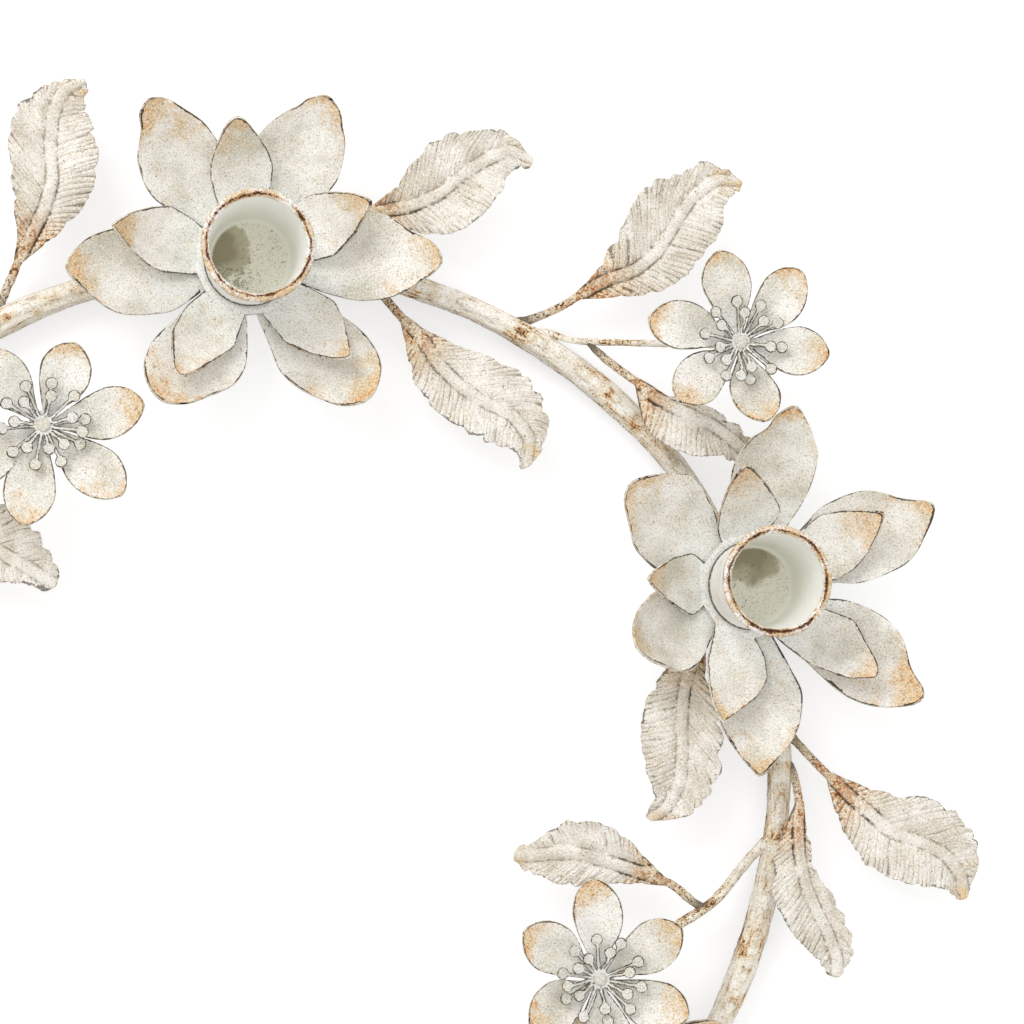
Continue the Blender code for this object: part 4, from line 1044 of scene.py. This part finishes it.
OUTWARD_SPRAY = Spray(
    Blossom(35.6, OUTER_SIDE, (39.6, 6.2, 10.0), (50.2, 26.9, BLOSSOM_HEIGHT), 3.5, 0.8),
    (
        Leaf(7.5, OUTER_SIDE, (11.4, 12.2, 7.2), (25.9, 36.5, 12.0), 0.0, BROAD_OUTER),
        Leaf(16.1, INNER_SIDE, (18.6, -8.8, 7.5), (42.3, -27.5, 11.0), 0.0, BROAD_INNER),
        Leaf(33.2, OUTER_SIDE, (35.6, 13.5, 8.0), (41.6, 58.4, 13.0), 0.0, LONG_OUTER),
        Leaf(None, INNER_SIDE, (46.0, 5.2, 11.2), (60.2, 14.5, 11.5), -14.0, SLIM_FORK),
    ),
    -0.8,
)
INWARD_SPRAY = Spray(
    Blossom(31.4, INNER_SIDE, (39.9, -16.8, 11.8), (54.7, -34.6, BLOSSOM_HEIGHT), 6.5, 1.2),
    (
        Leaf(5.6, INNER_SIDE, (4.6, -15.0, 6.8), (28.8, -33.2, 11.0), 0.0, DROOPING_INNER),
        Leaf(18.7, OUTER_SIDE, (22.0, 10.6, 8.0), (32.2, 45.4, 12.5), 0.0, SIDE_OUTER),
        Leaf(22.4, OUTER_SIDE, (25.0, 3.0, 10.4), (41.9, 19.4, 12.0), -14.0, SLIM_OUTER),
        Leaf(None, INNER_SIDE, (37.4, -26.9, 11.0), (40.7, -63.6, 13.0), 0.0, PLAIN_FORK),
    ),
    -1.0,
)
SIDE_SPRAY = Spray(
    Blossom(20.5, INNER_SIDE, (26.5, -10.0, 10.5), (41.1, -23.0, BLOSSOM_HEIGHT), 10.5, 1.0),
    (
        OUTWARD_SPRAY.leaves[0],
        Leaf(24.4, OUTER_SIDE, (28.0, 11.5, 9.0), (42.5, 27.0, 12.5), -12.0, STRAIGHT_FORK),
        Leaf(None, INNER_SIDE, (23.4, -17.2, 9.0), (26.1, -51.8, 12.0), 0.0, STRAIGHT_FORK),
        Leaf(45.8, OUTER_SIDE, (48.6, 13.6, 8.0), (59.7, 47.3, 13.0), 0.0, LEFT_SWEPT),
    ),
    4.0,
)
SHORT_SPRAY = OUTWARD_SPRAY._replace(
    blossom=OUTWARD_SPRAY.blossom._replace(bend=(39.9, 6.6, 10.4)),
    leaves=OUTWARD_SPRAY.leaves[:2] + (OUTWARD_SPRAY.leaves[2]._replace(tip=(41.0, 54.5, 13.0)),)
    + OUTWARD_SPRAY.leaves[3:],
)
SPRAYS = (OUTWARD_SPRAY, INWARD_SPRAY, INWARD_SPRAY, SHORT_SPRAY, SIDE_SPRAY)


def along_leaf(values, share):
    """A smooth curve through one value at each station of a leaf."""
    line = rounded_line(np.column_stack((np.array(STATIONS) * LEAF_RUN, values)), LEAF_ROUNDING)
    return np.interp(share, line[:, 0] / LEAF_RUN, line[:, 1])


def leaf_frame(leaf):
    base, tip = spot(*leaf.base), spot(*leaf.tip)
    heading = unit(tip - base)
    return base, tip, heading, unit(np.cross(UP, heading))


def rib_line(leaf, share):
    """The leaf's midrib in its sector."""
    base, tip, _, left = leaf_frame(leaf)
    return (base + np.outer(share, tip - base) + np.outer(along_leaf(leaf.shape.rib, share), left)
            + np.outer(np.sin(np.pi * share) * LEAF_ARCH, UP))


def leaf_blade(leaf, seed):
    """A cast blade: its rows run out from the midrib with the veins, and its edge is bitten between lobes."""
    base, tip, heading, left_way = leaf_frame(leaf)
    length = np.linalg.norm(tip - base)
    tilt = Matrix.Rotation(math.radians(leaf.roll), 3, Vector(heading)) @ Vector(left_way)

    def place(u, v):
        side = 1.0 - 2.0 * u
        reach = np.abs(side)
        slant = VEIN_SLANT + 0.03 * side
        share = np.clip(v + slant * reach * np.sin(np.pi * v), 0.0, 1.0)
        rib = along_leaf(leaf.shape.rib, share)
        on_left = side > 0
        edge_at = np.where(on_left, along_leaf(leaf.shape.left, share), along_leaf(leaf.shape.right, share))
        half = np.abs(edge_at - rib) + LEAF_TIP * smooth_step(share, 0.82, 1.0)
        half *= np.sqrt(1.0 - np.clip((v - 0.94) / 0.06, 0.0, 1.0) ** 2)
        run = v * length
        path = flat_points(run, np.sign(side) * 20)
        phase = run / LOBE_PITCH + np.where(on_left, 0.0, 0.4) + lumps_at(path, (9.0, 1.1, seed))
        climb = phase - np.floor(phase)
        lobe = np.sin(np.pi * climb ** 0.75) ** 0.6
        teeth = lumps_at(path, (0.8, 0.3, seed + 1), (2.2, 0.4, seed + 7))
        open_blade = smooth_step(v, 0.03, 0.16) * (1.0 - smooth_step(v, 0.93, 1.0))
        depth = LOBE_BITE * (0.9 + 0.2 * np.sign(side) + lumps_at(path, (12.0, 0.9, seed + 5)))
        bite = (depth * (0.7 - lobe) + teeth) * reach ** 5 * open_blade
        from_rib = np.maximum(half * reach - bite, 0.0)
        offset = rib + np.sign(side) * from_rib
        wide = np.clip(half / FULL_WIDTH, 0.0, 1.0)
        crown = LEAF_RIB * np.exp(-(from_rib / (1.35 - 0.5 * share)) ** 4)
        gutter = -GUTTER_DEPTH * np.exp(-((from_rib - GUTTER_PLACE) / GUTTER_WIDTH) ** 2) * open_blade
        jitter = lumps_at(flat_points(run, side * 3.0), (2.5, 0.9, seed + 2))
        veined = smooth_step(from_rib, 0.7, 2.0) * open_blade
        wave = np.sin(2 * np.pi * (run / VEIN_PITCH + jitter))
        strength = 0.7 + lumps_at(flat_points(run, side * 9.0), (4.0, 1.2, seed + 3))
        fold = -LOBE_FOLD * (1.0 - lobe) * smooth_step(reach, 0.1, 0.8) * open_blade
        ruffle = EDGE_RUFFLE * reach ** 3 * np.sin(np.pi * phase * 0.5 + seed) * open_blade
        cup = LEAF_CUPPING * wide * reach ** 1.5
        lumps = lumps_at(flat_points(run, offset), (5.0, 0.6, seed + 4)) * open_blade
        lumps *= smooth_step(from_rib, 0.5, 3.0)
        veins = wave * np.clip(strength, 0.15, 1.6) * VEIN_DEPTH * veined
        sink = tilt.z * offset * wide
        up = np.sin(np.pi * share) * LEAF_ARCH + cup + crown + gutter + fold + ruffle + lumps + veins + sink
        points = base + np.outer(share, tip - base) + np.outer(offset, left_way) + np.outer(up, UP)
        edge = np.clip(np.where(v > 0.97, (1.0 - v) * length, half * (1.0 - reach)), 0.0, 20.0)
        return points, {"edge": edge, "share": share, "vein": wave * veined, "rib": from_rib,
                        "thin": 1.0 - 0.6 * reach ** 3}

    blade = welded(grid("blade", LEAF_COLUMNS, int(length / VEIN_PITCH * ROWS_PER_VEIN), place))
    group = blade.vertex_groups.new(name="thin")
    for index, value in enumerate(painted_on(blade, "thin")):
        group.add((index,), float(value), "REPLACE")
    with_modifier(blade, "SOLIDIFY", thickness=LEAF_SHEET * MM, offset=0.0, vertex_group="thin")
    blade.vertex_groups.clear()
    return blade


def cast_leaf(leaf, spray, seed):
    """A leaf with its stem, which runs on under the blade as its rib."""
    base, _, heading, _ = leaf_frame(leaf)
    if leaf.root is None:
        first, second, _ = stem_run(spray)
        host = first[-1]
        along = unit(second[2] - host)
        outwards = np.cross(UP, along)
        outwards *= np.sign(outwards.dot(base - host))
        start, way = host - along * 1.5, outwards * WELD_OUT + along * WELD_ALONG
        flare = 0.8 * spray.blossom.wire - STEM_RADIUS
    else:
        onward = math.copysign(1.0, leaf.base[0] - leaf.root)
        start, way = branch_weld(leaf.root, leaf.side, spray.bow, onward)
        flare = STEM_FLARE
    reach = np.linalg.norm(base - start)
    stem = bezier(start, start + way * reach * STEM_SPRING, base - heading * reach * STEM_PULL, base,
                  np.linspace(0.0, 1.0, 24))[:-1]
    under = rib_line(leaf, np.linspace(0.02, 0.82, 30)) - UNDER_BLADE * UP
    taper = np.concatenate((np.ones(len(stem)), np.linspace(1.0, 0.25, len(under))))
    taper = np.interp(np.linspace(0, 1, WIRE_RINGS), np.linspace(0, 1, len(taper)), taper)
    centres = even_run(np.vstack((stem, under)), WIRE_RINGS)
    wire = rod("wire", centres, flared(centres, STEM_RADIUS, flare) * taper, 18, wire_bark)
    to_blade = np.clip(painted_on(wire, "along") / (reach + 2.0), 0.0, 1.0)
    paint(wire, edge=FAR_FROM_EDGE, share=0.6 * to_blade - 0.46, vein=0.0, rib=0.0)
    return shaded(coated(joined("leaf", leaf_blade(leaf, seed), wire), LEAF_PAINT), 60)


# Making the pieces

RING_SEAT = (RING_RADIUS, 0.0, 0.0)
FLOWER_KINDS = ("open", "curled", "open", "curled", "open")
FLOWER_TURNS = (0.0, 0.0, 15.5, 9.0, 24.0)
PLATES = {
    kind: [
        stamped_plate(f"{kind}_plate", arms, HUB_RADIUS, HUB_HOLE, SHEET, rounding,
                      petal_form(dish, crease, seed), coats)
        for arms, rounding, dish, crease, seed, coats in (
            (outer, 0, 1.3, 0.5, outer_seed, OUTER_COATS), (inner, 4.4, 0.5, 1.0, inner_seed, INNER_COATS))
    ]
    for kind, outer, outer_seed, inner, inner_seed in (
        ("open", OPEN_OUTER, 31, OPEN_INNER, 41), ("curled", CURLED_OUTER, 51, CURLED_INNER, 61))
}
CUP = turned_cup()
BLOSSOM_PLATES = [
    stamped_plate("blossom_plate", petals, BLOSSOM_HUB, STEM_HOLE, BLOSSOM_SHEET, 0, petal_form(0.9, 0.3, 71),
                  BLOSSOM_COATS, 16, 26)
    for petals in (BLOSSOM_PETALS, SIDE_BLOSSOM_PETALS)
]
STAMEN_STAR = stamped_plate("stamen_star", STAMENS, STAMEN_HUB, STEM_HOLE, STAMEN_SHEET, 0.3, stamen_form,
                            STAMEN_COATS, 6, 30)
masters = {}


def master(key, make):
    """One modelled piece for each kind, made when it is first needed."""
    if key not in masters:
        masters[key] = make()
    return masters[key]


def raised(height):
    return Matrix.Translation((0, 0, height * MM))


for number, (kind, turn, spray) in enumerate(zip(FLOWER_KINDS, FLOWER_TURNS, SPRAYS), 1):
    outer, inner = PLATES[kind]
    flower = seat(number, RING_SEAT, turn)
    set_in_place(outer, flower @ raised(OUTER_HUB_BASE), f"outer_petals_{number}")
    set_in_place(inner, flower @ raised(INNER_HUB_BASE), f"inner_petals_{number}")
    set_in_place(CUP, flower @ raised(CUP_BASE), f"candle_cup_{number}")
    sector = sector_turn(number)
    limb = master(("branch", spray.bow), lambda: branch(spray.bow))
    set_in_place(limb, sector, f"branch_{number}")
    stalk = master(("stem", spray.blossom), lambda: blossom_stem(spray))
    set_in_place(stalk, sector, f"blossom_stem_{number}")
    centre, turn = spray.blossom.centre, spray.blossom.turn
    bloom = seat(number, spot(*centre), turn - centre[0])
    set_in_place(BLOSSOM_PLATES[spray is SIDE_SPRAY], bloom, f"blossom_petals_{number}")
    above = bloom @ raised(BLOSSOM_SHEET + SEAT_GAP)
    set_in_place(STAMEN_STAR, above, f"blossom_stamens_{number}")
    for letter, leaf in zip("abcd", spray.leaves):
        blade = master((leaf, spray.bow), lambda: cast_leaf(leaf, spray, 100 + 7 * len(masters)))
        set_in_place(blade, sector, f"leaf_{number}{letter}")
    coated(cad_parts[f"cup_nut_{number}"], NUT_ZINC)

for spent in (CUP, *BLOSSOM_PLATES, STAMEN_STAR, *PLATES["open"], *PLATES["curled"], *masters.values()):
    bpy.data.objects.remove(spent, do_unlink=True)

# Floor, light and camera

FLOOR_SIZE = 6.0
FLOOR_GREY = (0.55, 0.55, 0.55, 1.0)
FLOOR_GLOW = 0.58
FLOOR_BOUNCE = (0.75, 0.75, 0.74, 1.0)
SKY_LEVEL = 0.91
WHITE = (1.0, 1.0, 1.0, 1.0)


def in_view(tree):
    """1 for what shows straight, in a gloss or through glass, and 0 for the light that falls on things."""
    seen = 0.0
    for ray in ("Is Camera Ray", "Is Glossy Ray", "Is Transmission Ray"):
        seen = add_node(tree, "Math", {0: seen, 1: add_node(tree, "LightPath", {}, ray)}, operation="MAXIMUM")
    return seen


floor = new_piece("floor", bpy.ops.mesh.primitive_plane_add, size=FLOOR_SIZE)
paper = bpy.data.materials.new("pale_floor")
paper.use_nodes = True
tree = paper.node_tree
tree.nodes.remove(tree.nodes["Principled BSDF"])
shadowed = add_node(tree, "BsdfDiffuse", {"Color": FLOOR_GREY})
glow = add_node(tree, "Emission", {"Color": WHITE, "Strength": FLOOR_GLOW})
both = add_node(tree, "AddShader", {0: shadowed, 1: glow})
plain = add_node(tree, "BsdfDiffuse", {"Color": FLOOR_BOUNCE})
mixed = add_node(tree, "MixShader", {0: in_view(tree), 1: plain, 2: both})
tree.links.new(mixed, tree.nodes["Material Output"].inputs["Surface"])
coated(floor, paper)

scene = bpy.context.scene
world = bpy.data.worlds.new("studio")
scene.world = world
world.use_nodes = True
tree = world.node_tree
sky = {0: in_view(tree), 1: 1.0 - SKY_LEVEL, 2: SKY_LEVEL}
background = tree.nodes["Background"]
background.inputs["Color"].default_value = WHITE
tree.links.new(add_node(tree, "Math", sky, operation="MULTIPLY_ADD"), background.inputs["Strength"])

KEY_PLACE = Vector((-0.75, 0.95, 1.15))
KEY_SIZE = 0.8
KEY_POWER = 10.0
bpy.ops.object.light_add(type="AREA", location=KEY_PLACE)
key_light = bpy.context.object
key_light.data.shape = "SQUARE"
key_light.data.size = KEY_SIZE
key_light.data.energy = KEY_POWER
key_light.rotation_euler = KEY_PLACE.to_track_quat("Z", "Y").to_euler()

# The photograph is taken from high over the first flower, with the wreath's centre below on the left
CAMERA_PLACE = Vector((-0.06473, 0.01433, 0.69635))
CAMERA_AIM = Vector((0.05444, 0.06234, 0.0055))
CAMERA_LENS = 104.374
CAMERA_SENSOR = 36.0
bpy.ops.object.camera_add(location=CAMERA_PLACE)
camera = bpy.context.object
back = (CAMERA_PLACE - CAMERA_AIM).normalized()
right = Vector((0.0, 1.0, 0.0)).cross(back).normalized()
camera.rotation_euler = Matrix((right, back.cross(right), back)).transposed().to_euler()
camera.data.lens = CAMERA_LENS
camera.data.sensor_width = CAMERA_SENSOR
scene.camera = camera
scene.view_settings.view_transform = "Standard"
